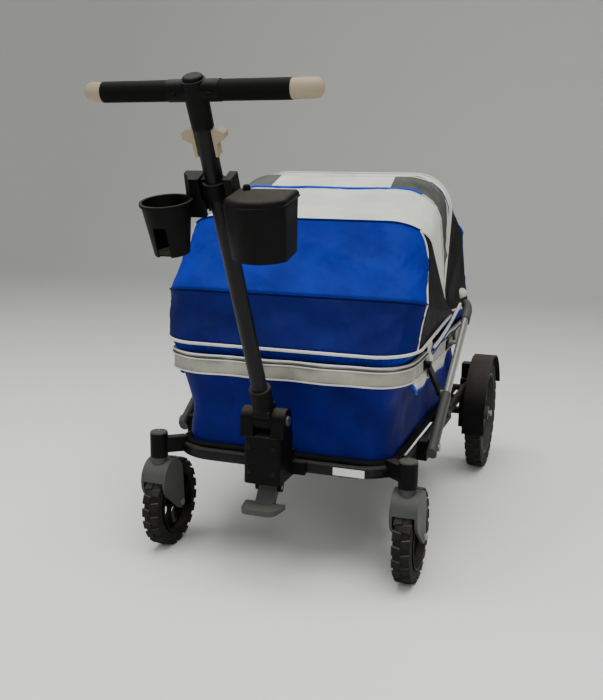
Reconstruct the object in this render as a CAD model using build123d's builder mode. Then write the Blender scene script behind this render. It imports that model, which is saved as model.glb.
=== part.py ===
from build123d import *
import os
from math import asin, atan2, cos, degrees, hypot, pi, radians, sin

# Folding beach cart: a low tube chassis on two castors and two large rear wheels, a fabric basket under
# a rim that lowers on scissor arms, a hooped canopy, and a leaning T-handle.
# Millimetres. +X is the cart's right, +Y points to its rear, +Z is up, and the floor is z = 0.
# The origin is on the floor, under the middle of the overall box.

# ---- driving dimensions ----
sides = (("left", -1), ("right", 1))
running_fit = 0.06          # radial clearance of a pin in its bore
body_gap = 0.5              # free space between faces of different bodies

# chassis tubes, flat ovals on edge
base_x = 258.0              # centre line of the side tubes
base_front_y = -330.0
base_rear_y = 613.0
base_z = 240.5
tube_tall = 27.0
tube_wide = 18.0
tube_wall = 1.5
base_corner = 100.0
front_leg_end_y = -150.0    # where the front tube ends and the side tubes begin
cross_radius = 9.0
cross_ys = (-205.0, 150.0, 400.0, 528.0)

# castors
castor_x = 283.0
castor_y = -331.0
castor_trail = 50.0
castor_wheel_radius = 102.0
castor_wheel_width = 40.0
castor_rim_radius = 72.0
housing_radius = 20.0
housing_bottom = 222.0
housing_top = 276.0
stem_radius = 8.0
stem_top = 262.0
fork_cheek = 6.0
fork_side_gap = 3.5         # between tyre side and cheek
fork_tyre_gap = 4.5         # between tread and saddle
castor_axle_radius = 4.0

# rear wheels
rear_wheel_x = 300.5
rear_wheel_y = 579.0
rear_wheel_radius = 159.0
rear_wheel_width = 46.0
rear_rim_radius = 118.0
rear_axle_radius = 6.0
axle_tube_radius = 11.0
axle_block_inner_x = 240.0
axle_block_outer_x = 272.0
axle_block_half_length = 34.0
axle_block_bottom = 118.0
fender_stand_half_length = 19.0
fender_stand_top = 305.0
fender_gap = 9.0            # between tread and fender
fender_wall = 3.5
fender_width = 60.0
fender_start = 22.0         # degrees from straight back, over the top
fender_sweep = 166.0

# handle
hinge_y = -400.0
hinge_z = 355.0
barrel_radius = 25.0
knuckle_half = 18.5
bracket_half = 47.0
hinge_pin_radius = 6.0
handle_lean = 27.4          # degrees forward of upright
handle_tube_radius = 16.0
handle_tube_wall = 2.0
socket_radius = 22.0
socket_start = 32.0
socket_end = 82.0
grip_height = 699.0         # from hinge to grip axis, along the tube
hub_half = 45.5
hub_radius = 20.0
hub_top = 18.2              # top of the hub above the grip axis
bar_radius = 11.0
grip_radius = 17.0
grip_end = 165.0
end_cap_reach = 44.0
hook_height = 611.0
hook_leg = 6.4              # keeps the lifted holders clear of the hooks
collar_height = 525.0
collar_radius = 21.5
collar_length = 30.0
ear_in = 27.0
ear_thick = 4.0
ear_half_width = 13.0
ear_half_height = 20.0

# cup holder and storage bin
holder_tilt = 14.0          # degrees forward of upright
holder_y = -673.0
holder_z = 800.0
holder_depth = 93.0
holder_wall = 2.5
cup_x = -80.0
cup_top_radius = 44.0
cup_bottom_radius = 31.0
cup_lip = 2.5
bin_x = 90.0
bin_width = 110.0
bin_back = 40.0
bin_corner_front = 22.0
bin_bulge = 50.0
lid_rise = 14.0
lid_pin_radius = 1.8
lid_pin_length = 36.0

# rim, band and basket
rim_x = 252.0               # centre line of the rim hoop
rim_front_y = -327.0
rim_rear_y = 484.0
rim_z = 445.0
rim_tube_radius = 8.0
rim_corner = 84.0
band_gap = 2.0
band_thick = 6.0
band_bottom = 424.0
fold_travel = 140.0         # how far the rim comes down when the frame folds
fold_clear = 7.0            # free space in front of the folded band
band_top = 466.0
basket_x = 228.0
basket_front_y = -303.0
basket_rear_y = 490.0
basket_wall = 3.0
basket_corner = 40.0
floor_thick = 5.5
pad_thick = 17.0
fold_travel = 140.0

# scissor arms
arm_x = 300.0
arm_tall = 26.0
arm_wide = 15.0
arm_foot_y = -160.0
arm_foot_z = 262.0
arm_slider_y = 130.0
arm_length = 484.0
arm_cover_length = 160.0
arm_cover_wall = 3.0
inner_arm_x = 281.0
inner_arm_thick = 8.0
inner_arm_tall = 16.0
arm_pin_radius = 5.0
cross_pin_radius = 4.0
cross_pin_slack = 2.6
slot_slack = 3.2            # up and down play of a sliding pin, which a constant-ratio arm needs
mount_thick = 7.0
mount_x = 268.5             # inner face of the slotted plates

# canopy
pivot_y = 117.0
pivot_z = 520.0
pivot_pin_radius = 5.0
bow_radius = 3.0
bow_pitch = 6.5             # from one bow's eye to the next along the pivot pin
outer_eye_x = 268.0
eye_radius = 11.0
cloth_x = 279.0
cloth_thick = 1.5
cloth_bottom = 470.0
# name, angle above the forward horizontal, reach from the pivot, half width at the cross piece, corner
bows = (
    ("seam_bow", 10.6, 414.0, 273.0, 70.0),
    ("mid_bow", 35.5, 388.0, 264.0, 80.0),
    ("top_bow", 80.0, 318.0, 257.0, 88.0),
    ("rear_top_bow", 100.0, 318.0, 250.0, 90.0),
    ("rear_mid_bow", 142.0, 330.0, 244.0, 80.0),
)

# ---- sizes that follow ----
axle_y = castor_y + castor_trail
fork_inner = castor_wheel_width + 2 * fork_side_gap
fork_outer = fork_inner + 2 * fork_cheek
floor_z = base_z + tube_tall / 2 + body_gap
pad_z = floor_z + floor_thick + body_gap
arm_rise = rim_z - arm_foot_z
arm_angle = degrees(atan2(arm_rise, arm_slider_y - arm_foot_y))
arm_reach = hypot(arm_rise, arm_slider_y - arm_foot_y)
folded_angle = degrees(asin((arm_rise - fold_travel) / arm_reach))
slider_end_y = arm_foot_y + arm_reach * cos(radians(folded_angle))
plate_front_y = arm_slider_y - arm_pin_radius - 13
plate_rear_y = slider_end_y + arm_pin_radius + 14
lean_up = Vector(0, -sin(radians(handle_lean)), cos(radians(handle_lean)))
lean_back = Vector(0, cos(radians(handle_lean)), sin(radians(handle_lean)))


def handle_plane(height):
    """Square to the handle tube, at a height along it from the hinge. Its y runs up and back."""
    return Plane(origin=Vector(0, hinge_y, hinge_z) + lean_up * height, x_dir=(1, 0, 0), z_dir=lean_up)


def handle_face(height):
    """Along the handle tube: x across the cart and y up the tube, with z towards the front."""
    return Plane(origin=Vector(0, hinge_y, hinge_z) + lean_up * height, x_dir=(1, 0, 0), z_dir=-lean_back)


def holder_plane(x):
    """At the mouth of the cup holder or the storage bin."""
    tilt = radians(holder_tilt)
    return Plane(origin=(x, holder_y, holder_z), x_dir=(1, 0, 0), z_dir=(0, -sin(tilt), cos(tilt)))


def side_plane(x, y, z):
    """Upright plane facing +X, with its x along +Y and its y along +Z."""
    return Plane(origin=(x, y, z), x_dir=(0, 1, 0), z_dir=(1, 0, 0))


def tube_end(x, y, z, direction):
    """Section plane of an oval tube on edge that leaves along a level direction."""
    return Plane(origin=(x, y, z), x_dir=(0, 0, 1), z_dir=direction)


os.makedirs("parts", exist_ok=True)

# ---- chassis: front tube, bent round both front corners ----
with BuildPart() as front_tube_form:
    with BuildLine(Plane.XY.offset(base_z)) as front_path:
        FilletPolyline((-base_x, front_leg_end_y), (-base_x, base_front_y), (base_x, base_front_y),
                       (base_x, front_leg_end_y), radius=base_corner)
    with BuildSketch(tube_end(-base_x, front_leg_end_y, base_z, (0, -1, 0))):
        SlotOverall(tube_tall, tube_wide)
    sweep()

with BuildPart() as front_frame_tube:
    with BuildLine(Plane.XY.offset(base_z)):
        FilletPolyline((-base_x, front_leg_end_y), (-base_x, base_front_y), (base_x, base_front_y),
                       (base_x, front_leg_end_y), radius=base_corner)
    with BuildSketch(tube_end(-base_x, front_leg_end_y, base_z, (0, -1, 0))):
        SlotOverall(tube_tall, tube_wide)
        offset(amount=-tube_wall, mode=Mode.SUBTRACT)
    sweep()
front_frame_tube.part.label = "front_frame_tube"
export_step(front_frame_tube.part, "parts/front_frame_tube.step")

# ---- chassis: side tubes ----
with BuildPart() as side_tubes:
    for side, sign in sides:
        with BuildSketch(tube_end(sign * base_x, front_leg_end_y, base_z, (0, 1, 0))):
            SlotOverall(tube_tall, tube_wide)
            offset(amount=-tube_wall, mode=Mode.SUBTRACT)
    extrude(amount=base_rear_y - front_leg_end_y)
side_tubes.part.label = "side_tubes"
export_step(side_tubes.part, "parts/side_tubes.step")

# ---- chassis: round tubes across, which carry the floor ----
with BuildPart() as cross_tubes:
    for cross_y in cross_ys:
        with BuildSketch(side_plane(-base_x + tube_wide / 2, cross_y, base_z)):
            Circle(cross_radius)
            Circle(cross_radius - tube_wall, mode=Mode.SUBTRACT)
    extrude(amount=2 * base_x - tube_wide)
cross_tubes.part.label = "cross_tubes"
export_step(cross_tubes.part, "parts/cross_tubes.step")

# ---- castors: housings with a strut to the front corners ----
corner_x = base_x - base_corner
corner_y = base_front_y + base_corner
strut_angle = degrees(atan2(castor_y - corner_y, castor_x - corner_x))
strut_length = hypot(castor_x - corner_x, castor_y - corner_y) - base_corner
strut_tall = 34.0
strut_wide = 24.0
strut_z = (housing_bottom + housing_top) / 2
with BuildPart() as housing:
    with Locations((castor_x, castor_y, strut_z)):
        Cylinder(housing_radius, housing_top - housing_bottom)
    with BuildSketch(Plane.XY.offset(strut_z - strut_tall / 2)):
        with Locations(Location((castor_x, castor_y), strut_angle)):
            Rectangle(strut_length, strut_wide, align=(Align.MAX, Align.CENTER))
    extrude(amount=strut_tall)
    add(front_tube_form.part, mode=Mode.SUBTRACT)
    with Locations((castor_x, castor_y, housing_bottom)):
        Cylinder(stem_radius + running_fit, stem_top - housing_bottom + body_gap,
                 align=(Align.CENTER, Align.CENTER, Align.MIN), mode=Mode.SUBTRACT)
    mirror(about=Plane.YZ)
housing.part.label = "castor_housings"
export_step(housing.part, "parts/castor_housings.step")

# ---- castors: domed caps on the housings ----
cap_height = 5.0
with BuildPart() as caps:
    for side, sign in sides:
        with BuildSketch(Plane.XY.offset(housing_top)):
            with Locations((sign * castor_x, castor_y)):
                Circle(housing_radius - 0.5)
    extrude(amount=cap_height)
    fillet(caps.edges().group_by(Axis.Z)[-1], radius=3.5)
caps.part.label = "castor_caps"
export_step(caps.part, "parts/castor_caps.step")


# ---- wheels ----
def spoked_rim(plane, radius, width, hub_radius, bore_radius, spokes):
    """A rim with a flat web between the hub and the rim, opened into spokes."""
    rim_wall = 5.0
    web_thick = 8.0
    web_out = radius - rim_wall
    with BuildPart() as rim:
        with BuildSketch(plane):
            Circle(radius)
            Circle(web_out, mode=Mode.SUBTRACT)
            Circle(hub_radius)
        extrude(amount=width / 2, both=True)
        with BuildSketch(plane):
            Circle(web_out + 1)
        extrude(amount=web_thick / 2, both=True)
        with BuildSketch(plane):
            with PolarLocations((web_out + hub_radius) / 2, spokes):
                SlotOverall(web_out - hub_radius - 8, (web_out + hub_radius) * pi / spokes * 0.55)
        extrude(amount=width, both=True, mode=Mode.SUBTRACT)
        with BuildSketch(plane):
            Circle(bore_radius)
        extrude(amount=width, both=True, mode=Mode.SUBTRACT)
    return rim.part


def block_tyre(plane, radius, width, rim_radius):
    """A tyre with rounded shoulders, closed on its rim."""
    with BuildPart() as tyre:
        with BuildSketch(plane):
            Circle(radius)
            Circle(rim_radius, mode=Mode.SUBTRACT)
        extrude(amount=width / 2, both=True)
        tread_edges = tyre.edges().filter_by(GeomType.CIRCLE).sort_by(SortBy.RADIUS)[-2:]
        fillet(tread_edges, radius=width * 0.22)
    return tyre.part


for side, sign in sides:
    wheel_plane = side_plane(sign * castor_x, axle_y, castor_wheel_radius)

    # fork: cheeks joined by a saddle over the front of the wheel, with the stem on its neck
    saddle_radius = 46.0
    saddle_forward = 37.0
    saddle_up = 66.0
    cheek_end_radius = 15.0
    neck_radius = 16.0
    neck_bottom = 206.0
    with BuildPart() as fork:
        with BuildSketch(wheel_plane):
            Circle(cheek_end_radius)
            with Locations((-saddle_forward, saddle_up)):
                Circle(saddle_radius)
            make_hull()
        extrude(amount=fork_outer / 2, both=True)
        with BuildSketch(wheel_plane):
            Circle(castor_wheel_radius + fork_tyre_gap)
        extrude(amount=fork_inner / 2, both=True, mode=Mode.SUBTRACT)
        with BuildSketch(Plane.XY.offset(neck_bottom)):
            with Locations((sign * castor_x, castor_y)):
                Circle(neck_radius)
        extrude(amount=housing_bottom - body_gap - neck_bottom)
        with BuildSketch(Plane.XY.offset(neck_bottom)):
            with Locations((sign * castor_x, castor_y)):
                Circle(stem_radius)
        extrude(amount=stem_top - neck_bottom)
        with BuildSketch(wheel_plane):
            Circle(castor_axle_radius + running_fit)
        extrude(amount=fork_outer, both=True, mode=Mode.SUBTRACT)
    fork.part.label = f"castor_fork_{side}"
    export_step(fork.part, f"parts/castor_fork_{side}.step")

    # axle bolt with a round head on each side
    head_radius = 8.0
    head_thick = 4.0
    with BuildPart() as castor_axle:
        with BuildSketch(wheel_plane):
            Circle(castor_axle_radius)
        extrude(amount=fork_outer / 2 + head_thick, both=True)
        for face_offset in (fork_outer / 2, -fork_outer / 2 - head_thick):
            with BuildSketch(wheel_plane.offset(face_offset)):
                Circle(head_radius)
            extrude(amount=head_thick)
    castor_axle.part.label = f"castor_axle_{side}"
    export_step(castor_axle.part, f"parts/castor_axle_{side}.step")

    castor_rim = spoked_rim(wheel_plane, castor_rim_radius, fork_inner - 4, 14.0,
                            castor_axle_radius + running_fit, 5)
    castor_rim.label = f"castor_rim_{side}"
    export_step(castor_rim, f"parts/castor_rim_{side}.step")

    castor_tyre = block_tyre(wheel_plane, castor_wheel_radius, castor_wheel_width, castor_rim_radius)
    castor_tyre.label = f"castor_tyre_{side}"
    export_step(castor_tyre, f"parts/castor_tyre_{side}.step")

    rear_plane = side_plane(sign * rear_wheel_x, rear_wheel_y, rear_wheel_radius)
    rear_rim = spoked_rim(rear_plane, rear_rim_radius, rear_wheel_width - 4, 20.0,
                          rear_axle_radius + running_fit, 6)
    rear_rim.label = f"rear_rim_{side}"
    export_step(rear_rim, f"parts/rear_rim_{side}.step")

    rear_tyre = block_tyre(rear_plane, rear_wheel_radius, rear_wheel_width, rear_rim_radius)
    rear_tyre.label = f"rear_tyre_{side}"
    export_step(rear_tyre, f"parts/rear_tyre_{side}.step")

# ---- rear axle: a rod from wheel to wheel, and the tube round it with the brake lugs ----
axle_nut_thick = 7.0
rear_axle_half = rear_wheel_x + rear_wheel_width / 2 + axle_nut_thick
with BuildPart() as rear_axle:
    with BuildSketch(side_plane(0, rear_wheel_y, rear_wheel_radius)):
        Circle(rear_axle_radius)
    extrude(amount=rear_axle_half, both=True)
    for nut_x in (rear_axle_half - axle_nut_thick, -rear_axle_half):
        with BuildSketch(side_plane(nut_x, rear_wheel_y, rear_wheel_radius)):
            RegularPolygon(10.0, 6)
        extrude(amount=axle_nut_thick)
rear_axle.part.label = "rear_axle"
export_step(rear_axle.part, "parts/rear_axle.step")

brake_y = rear_wheel_y + 27
brake_z = rear_wheel_radius + 24
brake_half = 25.0
lug_thick = 6.0
lug_radius = 11.0
brake_pin_radius = 4.0
with BuildPart() as rear_axle_tube:
    with BuildSketch(side_plane(0, rear_wheel_y, rear_wheel_radius)):
        Circle(axle_tube_radius)
    extrude(amount=axle_block_inner_x, both=True)
    for side, sign in sides:
        lug_x = sign * (brake_half + body_gap + lug_thick / 2)
        with BuildSketch(side_plane(lug_x, rear_wheel_y, rear_wheel_radius)):
            Circle(axle_tube_radius + 2)
            with Locations((brake_y - rear_wheel_y, brake_z - rear_wheel_radius)):
                Circle(lug_radius)
            make_hull()
        extrude(amount=lug_thick / 2, both=True)
    with BuildSketch(side_plane(0, rear_wheel_y, rear_wheel_radius)):
        Circle(rear_axle_radius + running_fit)
        with Locations((brake_y - rear_wheel_y, brake_z - rear_wheel_radius)):
            Circle(brake_pin_radius)
    extrude(amount=rear_axle_half, both=True, mode=Mode.SUBTRACT)
rear_axle_tube.part.label = "rear_axle_tube"
export_step(rear_axle_tube.part, "parts/rear_axle_tube.step")

# ---- brake pedal at the middle of the rear axle ----
with BuildPart() as brake_pedal:
    with BuildSketch(side_plane(0, brake_y, brake_z)):
        Circle(9.0)
        with Locations((58.0, -6.0)):
            Circle(5.0)
        make_hull()
    extrude(amount=brake_half, both=True)
    with BuildSketch(side_plane(0, brake_y, brake_z)):
        Circle(brake_pin_radius + running_fit)
    extrude(amount=brake_half, both=True, mode=Mode.SUBTRACT)
brake_pedal.part.label = "brake_pedal"
export_step(brake_pedal.part, "parts/brake_pedal.step")

# ---- axle blocks: they grip the side tubes, hold the axle and stand the fenders up ----
block_wide = axle_block_outer_x - axle_block_inner_x
block_x = (axle_block_outer_x + axle_block_inner_x) / 2
with BuildPart() as axle_blocks:
    with BuildSketch(side_plane(block_x, rear_wheel_y, 0)):
        with Locations((0, axle_block_bottom)):
            Rectangle(2 * axle_block_half_length, base_z + tube_tall / 2 + 8 - axle_block_bottom,
                      align=(Align.CENTER, Align.MIN))
        with Locations((0, base_z)):
            Rectangle(2 * fender_stand_half_length, fender_stand_top - base_z,
                      align=(Align.CENTER, Align.MIN))
    extrude(amount=block_wide / 2, both=True)
    with BuildSketch(tube_end(base_x, rear_wheel_y - axle_block_half_length, base_z, (0, 1, 0))):
        SlotOverall(tube_tall, tube_wide)
    extrude(amount=2 * axle_block_half_length, mode=Mode.SUBTRACT)
    with BuildSketch(side_plane(block_x, rear_wheel_y, rear_wheel_radius)):
        Circle(rear_axle_radius + running_fit)
    extrude(amount=block_wide, both=True, mode=Mode.SUBTRACT)
    mirror(about=Plane.YZ)
axle_blocks.part.label = "axle_blocks"
export_step(axle_blocks.part, "parts/axle_blocks.step")

# ---- fenders: a shell over each rear wheel, with a flange on the axle block ----
fender_inner = rear_wheel_radius + fender_gap
fender_outer = fender_inner + fender_wall
flange_inner = 128.0
flange_start = 58.0
flange_sweep = 64.0


def ring_sector(inner, outer, start, sweep):
    """A flat piece of a ring, from one angle to another."""
    with BuildSketch() as sector:
        with BuildLine():
            outer_arc = CenterArc((0, 0), outer, start, sweep)
            inner_arc = CenterArc((0, 0), inner, start, sweep)
            Line(outer_arc @ 0, inner_arc @ 0)
            Line(outer_arc @ 1, inner_arc @ 1)
        make_face()
    return sector.sketch


with BuildPart() as fenders:
    with BuildSketch(side_plane(axle_block_outer_x, rear_wheel_y, rear_wheel_radius)):
        add(ring_sector(fender_inner, fender_outer, fender_start, fender_sweep))
    extrude(amount=fender_width)
    with BuildSketch(side_plane(axle_block_outer_x, rear_wheel_y, rear_wheel_radius)):
        add(ring_sector(flange_inner, fender_outer, flange_start, flange_sweep))
    extrude(amount=fender_wall)
    mirror(about=Plane.YZ)
fenders.part.label = "fenders"
export_step(fenders.part, "parts/fenders.step")

# ---- handle bracket: a block on the front tube with two knuckles for the handle's hinge ----
block_half = 40.0
block_front_y = hinge_y - 28
block_top = hinge_z - barrel_radius - 8
block_bottom = 223.0
tube_front_y = base_front_y - tube_wide / 2
wing_half = 68.0
wing_thick = 12.0
pedal_y = -378.0
pedal_z = 204.0
pedal_half = 20.0
pedal_pin_radius = 4.0
with BuildPart() as handle_bracket:
    with BuildSketch(Plane.XY.offset(block_bottom)):
        with Locations((0, block_front_y)):
            Rectangle(2 * block_half, tube_front_y - block_front_y, align=(Align.CENTER, Align.MIN))
    extrude(amount=block_top - block_bottom)
    fillet(handle_bracket.edges().filter_by(Axis.Z).group_by(Axis.Y)[0], radius=12)
    with BuildSketch(Plane.XY.offset(base_z - tube_tall / 2)):
        with Locations((0, tube_front_y)):
            Rectangle(2 * wing_half, wing_thick, align=(Align.CENTER, Align.MAX))
    extrude(amount=tube_tall)
    for side, sign in sides:
        knuckle_x = sign * (knuckle_half + body_gap + bracket_half) / 2
        knuckle_length = bracket_half - knuckle_half - body_gap
        with BuildSketch(side_plane(knuckle_x, hinge_y, hinge_z)):
            Circle(barrel_radius)
            Rectangle(2 * barrel_radius, hinge_z - block_top + 1, align=(Align.CENTER, Align.MAX))
        extrude(amount=knuckle_length / 2, both=True)
        with BuildSketch(side_plane(sign * (pedal_half + body_gap + 4), pedal_y, pedal_z)):
            Circle(10.0)
            Rectangle(20.0, block_bottom - pedal_z + 1, align=(Align.CENTER, Align.MIN))
        extrude(amount=4, both=True)
    with BuildSketch(side_plane(0, hinge_y, hinge_z)):
        Circle(hinge_pin_radius)
        with Locations((pedal_y - hinge_y, pedal_z - hinge_z)):
            Circle(pedal_pin_radius)
    extrude(amount=bracket_half + 1, both=True, mode=Mode.SUBTRACT)
    # the back is cut away where the band comes down
    with BuildSketch(Plane.XY.offset(band_bottom - fold_travel - 4)):
        with Locations((0, rim_front_y - rim_tube_radius - band_gap - band_thick - fold_clear)):
            Rectangle(4 * block_half, 60, align=(Align.CENTER, Align.MIN))
    extrude(amount=hinge_z - band_bottom + fold_travel, mode=Mode.SUBTRACT)
handle_bracket.part.label = "handle_bracket"
export_step(handle_bracket.part, "parts/handle_bracket.step")

# ---- foot pedal under the bracket: a rounded tongue ----
with BuildPart() as foot_pedal:
    with BuildSketch(side_plane(0, pedal_y, pedal_z)):
        Circle(9.0)
        with Locations((-26.0, -32.0)):
            Circle(7.0)
        make_hull()
    extrude(amount=pedal_half, both=True)
    with BuildSketch(Plane.XY.offset(pedal_z - 39)):
        with BuildLine():
            tongue = Polyline((-44, pedal_y - 22), (-36, pedal_y - 76), (36, pedal_y - 76),
                              (44, pedal_y - 22), close=True)
        make_face()
    extrude(amount=11)
    fillet(foot_pedal.edges().filter_by(Axis.Z).group_by(Axis.Y)[0], radius=20)
    with BuildSketch(side_plane(0, pedal_y, pedal_z)):
        Circle(pedal_pin_radius + running_fit)
    extrude(amount=pedal_half, both=True, mode=Mode.SUBTRACT)
foot_pedal.part.label = "foot_pedal"
export_step(foot_pedal.part, "parts/foot_pedal.step")

# ---- handle: socket with the middle knuckle ----
with BuildPart() as handle_socket:
    with BuildSketch(side_plane(0, hinge_y, hinge_z)):
        Circle(barrel_radius)
    extrude(amount=knuckle_half, both=True)
    with BuildSketch(handle_plane(0)):
        Rectangle(2 * knuckle_half, 2 * (barrel_radius - 6))
    extrude(amount=socket_start + 1)
    with BuildSketch(handle_plane(socket_start)):
        Circle(socket_radius)
    extrude(amount=socket_end - socket_start)
    with BuildSketch(handle_plane(socket_start + 4)):
        Circle(handle_tube_radius + running_fit)
    extrude(amount=socket_end, mode=Mode.SUBTRACT)
    with BuildSketch(side_plane(0, hinge_y, hinge_z)):
        Circle(hinge_pin_radius + running_fit)
    extrude(amount=knuckle_half, both=True, mode=Mode.SUBTRACT)
handle_socket.part.label = "handle_socket"
export_step(handle_socket.part, "parts/handle_socket.step")

# ---- handle: tube ----
tube_top = grip_height - hub_radius - 2
with BuildPart() as handle_tube:
    with BuildSketch(handle_plane(socket_start + 4)):
        Circle(handle_tube_radius)
        Circle(handle_tube_radius - handle_tube_wall, mode=Mode.SUBTRACT)
    extrude(amount=tube_top - socket_start - 4)
handle_tube.part.label = "handle_tube"
export_step(handle_tube.part, "parts/handle_tube.step")

# ---- handle: hub, cross bar, cap, grips and end caps ----
grip_centre = handle_plane(grip_height).origin
with BuildPart() as handle_hub:
    with BuildSketch(side_plane(0, grip_centre.Y, grip_centre.Z)):
        Circle(hub_radius - 2)
    extrude(amount=hub_half, both=True)
    with BuildSketch(handle_plane(grip_height - 62)):
        Circle(handle_tube_radius + 2.5)
    with BuildSketch(handle_plane(grip_height + hub_top)):
        Circle(hub_radius)
    loft()
    with BuildSketch(handle_plane(grip_height - 63)):
        Circle(handle_tube_radius + running_fit)
    extrude(amount=tube_top - grip_height + 63 + running_fit, mode=Mode.SUBTRACT)
    with BuildSketch(side_plane(0, grip_centre.Y, grip_centre.Z)):
        Circle(bar_radius + running_fit)
    extrude(amount=hub_half + 1, both=True, mode=Mode.SUBTRACT)
handle_hub.part.label = "handle_hub"
export_step(handle_hub.part, "parts/handle_hub.step")

with BuildPart() as cross_bar:
    with BuildSketch(side_plane(0, grip_centre.Y, grip_centre.Z)):
        Circle(bar_radius)
        Circle(bar_radius - handle_tube_wall, mode=Mode.SUBTRACT)
    extrude(amount=grip_end, both=True)
cross_bar.part.label = "cross_bar"
export_step(cross_bar.part, "parts/cross_bar.step")

with BuildPart() as hub_cap:
    with BuildSketch(handle_plane(grip_height + hub_top)):
        Circle(hub_radius - 3)
    extrude(amount=7)
    fillet(hub_cap.edges().filter_by(GeomType.CIRCLE).sort_by(Axis.Z)[-1], radius=5)
hub_cap.part.label = "hub_cap"
export_step(hub_cap.part, "parts/hub_cap.step")

with BuildPart() as grips:
    for side, sign in sides:
        with BuildSketch(side_plane(sign * hub_half, grip_centre.Y, grip_centre.Z)):
            Circle(grip_radius)
            Circle(bar_radius + running_fit, mode=Mode.SUBTRACT)
        extrude(amount=sign * (grip_end - hub_half))
grips.part.label = "grips"
export_step(grips.part, "parts/grips.step")

# each end cap sweeps back from the end of the bar
with BuildPart() as end_caps:
    for side, sign in sides:
        start = Vector(sign * grip_end, grip_centre.Y, grip_centre.Z)
        with BuildLine() as cap_path:
            bend = TangentArc(start, start + Vector(sign * end_cap_reach * 0.62, 14, 2),
                              tangent=(sign, 0, 0))
            Line(bend @ 1, bend @ 1 + (bend % 1) * end_cap_reach * 0.4)
        with BuildSketch(side_plane(start.X, start.Y, start.Z)):
            Circle(grip_radius - 0.6)
        sweep()
    cap_ends = end_caps.edges().filter_by(GeomType.CIRCLE)
    fillet([cap_ends.sort_by(Axis.X)[0], cap_ends.sort_by(Axis.X)[-1]], radius=12)
end_caps.part.label = "end_caps"
export_step(end_caps.part, "parts/end_caps.step")

# ---- handle: two cord hooks below the hub ----
with BuildPart() as hooks:
    with BuildSketch(handle_face(hook_height)):
        with BuildLine():
            Polyline((handle_tube_radius, -24), (handle_tube_radius + hook_leg - 0.5, -24),
                     (handle_tube_radius + hook_leg, 0),
                     (handle_tube_radius + 22, 8), (handle_tube_radius + 23, 18),
                     (handle_tube_radius + 12, 23), (handle_tube_radius, 23), close=True)
        make_face()
    extrude(amount=8, both=True)
    fillet(hooks.edges().filter_by(lambda edge: abs((edge % 0.5).dot(lean_back)) > 0.99
                                   and edge.center().X > handle_tube_radius + 5), radius=3.5)
    mirror(about=Plane.YZ)
hooks.part.label = "hooks"
export_step(hooks.part, "parts/hooks.step")

# ---- handle: collar with an ear on each side ----
with BuildPart() as collar:
    with BuildSketch(handle_plane(collar_height - collar_length / 2)):
        Circle(collar_radius)
    extrude(amount=collar_length)
    with BuildSketch(handle_plane(collar_height - ear_half_height)):
        Rectangle(2 * ear_in + 1, 12)
    extrude(amount=2 * ear_half_height)
    for side, sign in sides:
        with BuildSketch(handle_plane(collar_height - ear_half_height)):
            with Locations((sign * (ear_in + ear_thick / 2), 0)):
                Rectangle(ear_thick, 2 * ear_half_width)
        extrude(amount=2 * ear_half_height)
    with BuildSketch(handle_plane(collar_height - ear_half_height - 1)):
        Circle(handle_tube_radius + running_fit)
    extrude(amount=2 * ear_half_height + 2, mode=Mode.SUBTRACT)
collar.part.label = "holder_collar"
export_step(collar.part, "parts/holder_collar.step")

channel_wall = 3.5
channel_gap = 0.6
channel_in = ear_in - channel_wall - channel_gap
channel_out = ear_in + ear_thick + channel_gap
channel_drop = ear_half_height + 28
channel_height = channel_drop + ear_half_height + 5


def channel_block(sign, reach):
    """Block that hooks over an ear, from the handle side out to a reach."""
    with BuildPart() as block:
        with BuildSketch(handle_plane(collar_height - channel_drop)):
            with Locations((sign * (channel_in + reach) / 2, 0)):
                Rectangle(reach - channel_in, 2 * (ear_half_width + channel_wall))
        extrude(amount=channel_height)
    return block.part


def channel_slot(sign):
    """The space that the ear fills, open below, to be cut from the block."""
    with BuildPart() as slot:
        with BuildSketch(handle_plane(collar_height - channel_drop - 1)):
            with Locations((sign * (ear_in + ear_thick / 2), 0)):
                Rectangle(ear_thick + 2 * channel_gap, 2 * (ear_half_width + channel_gap))
            with Locations((sign * (channel_in + ear_in) / 2, 0)):
                Rectangle(ear_in - channel_in + 1, 12 + 2 * channel_gap)
        extrude(amount=channel_drop + 1 + ear_half_height + channel_gap)
    return slot.part


# ---- cup holder on the left ear ----
with BuildPart() as cup_holder:
    with BuildSketch(holder_plane(cup_x)):
        Circle(cup_top_radius)
    with BuildSketch(holder_plane(cup_x).offset(-holder_depth)):
        Circle(cup_bottom_radius)
    loft()
    with BuildSketch(holder_plane(cup_x).offset(-5)):
        Circle(cup_top_radius + cup_lip)
    extrude(amount=5)
    add(channel_block(-1, -cup_x - cup_top_radius + 22))
    with BuildSketch(holder_plane(cup_x).offset(60)):
        Circle(cup_top_radius - holder_wall)
    extrude(amount=-60, mode=Mode.SUBTRACT)
    with BuildSketch(holder_plane(cup_x)):
        Circle(cup_top_radius - holder_wall)
    with BuildSketch(holder_plane(cup_x).offset(-holder_depth + holder_wall)):
        Circle(cup_bottom_radius - holder_wall)
    loft(mode=Mode.SUBTRACT)
    add(channel_slot(-1), mode=Mode.SUBTRACT)
    with BuildSketch(holder_plane(cup_x).offset(-holder_depth - 1)):
        with Locations((0, -cup_top_radius)):
            Rectangle(24, cup_top_radius)
    extrude(amount=56, mode=Mode.SUBTRACT)
cup_holder.part.label = "cup_holder"
export_step(cup_holder.part, "parts/cup_holder.step")

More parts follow.
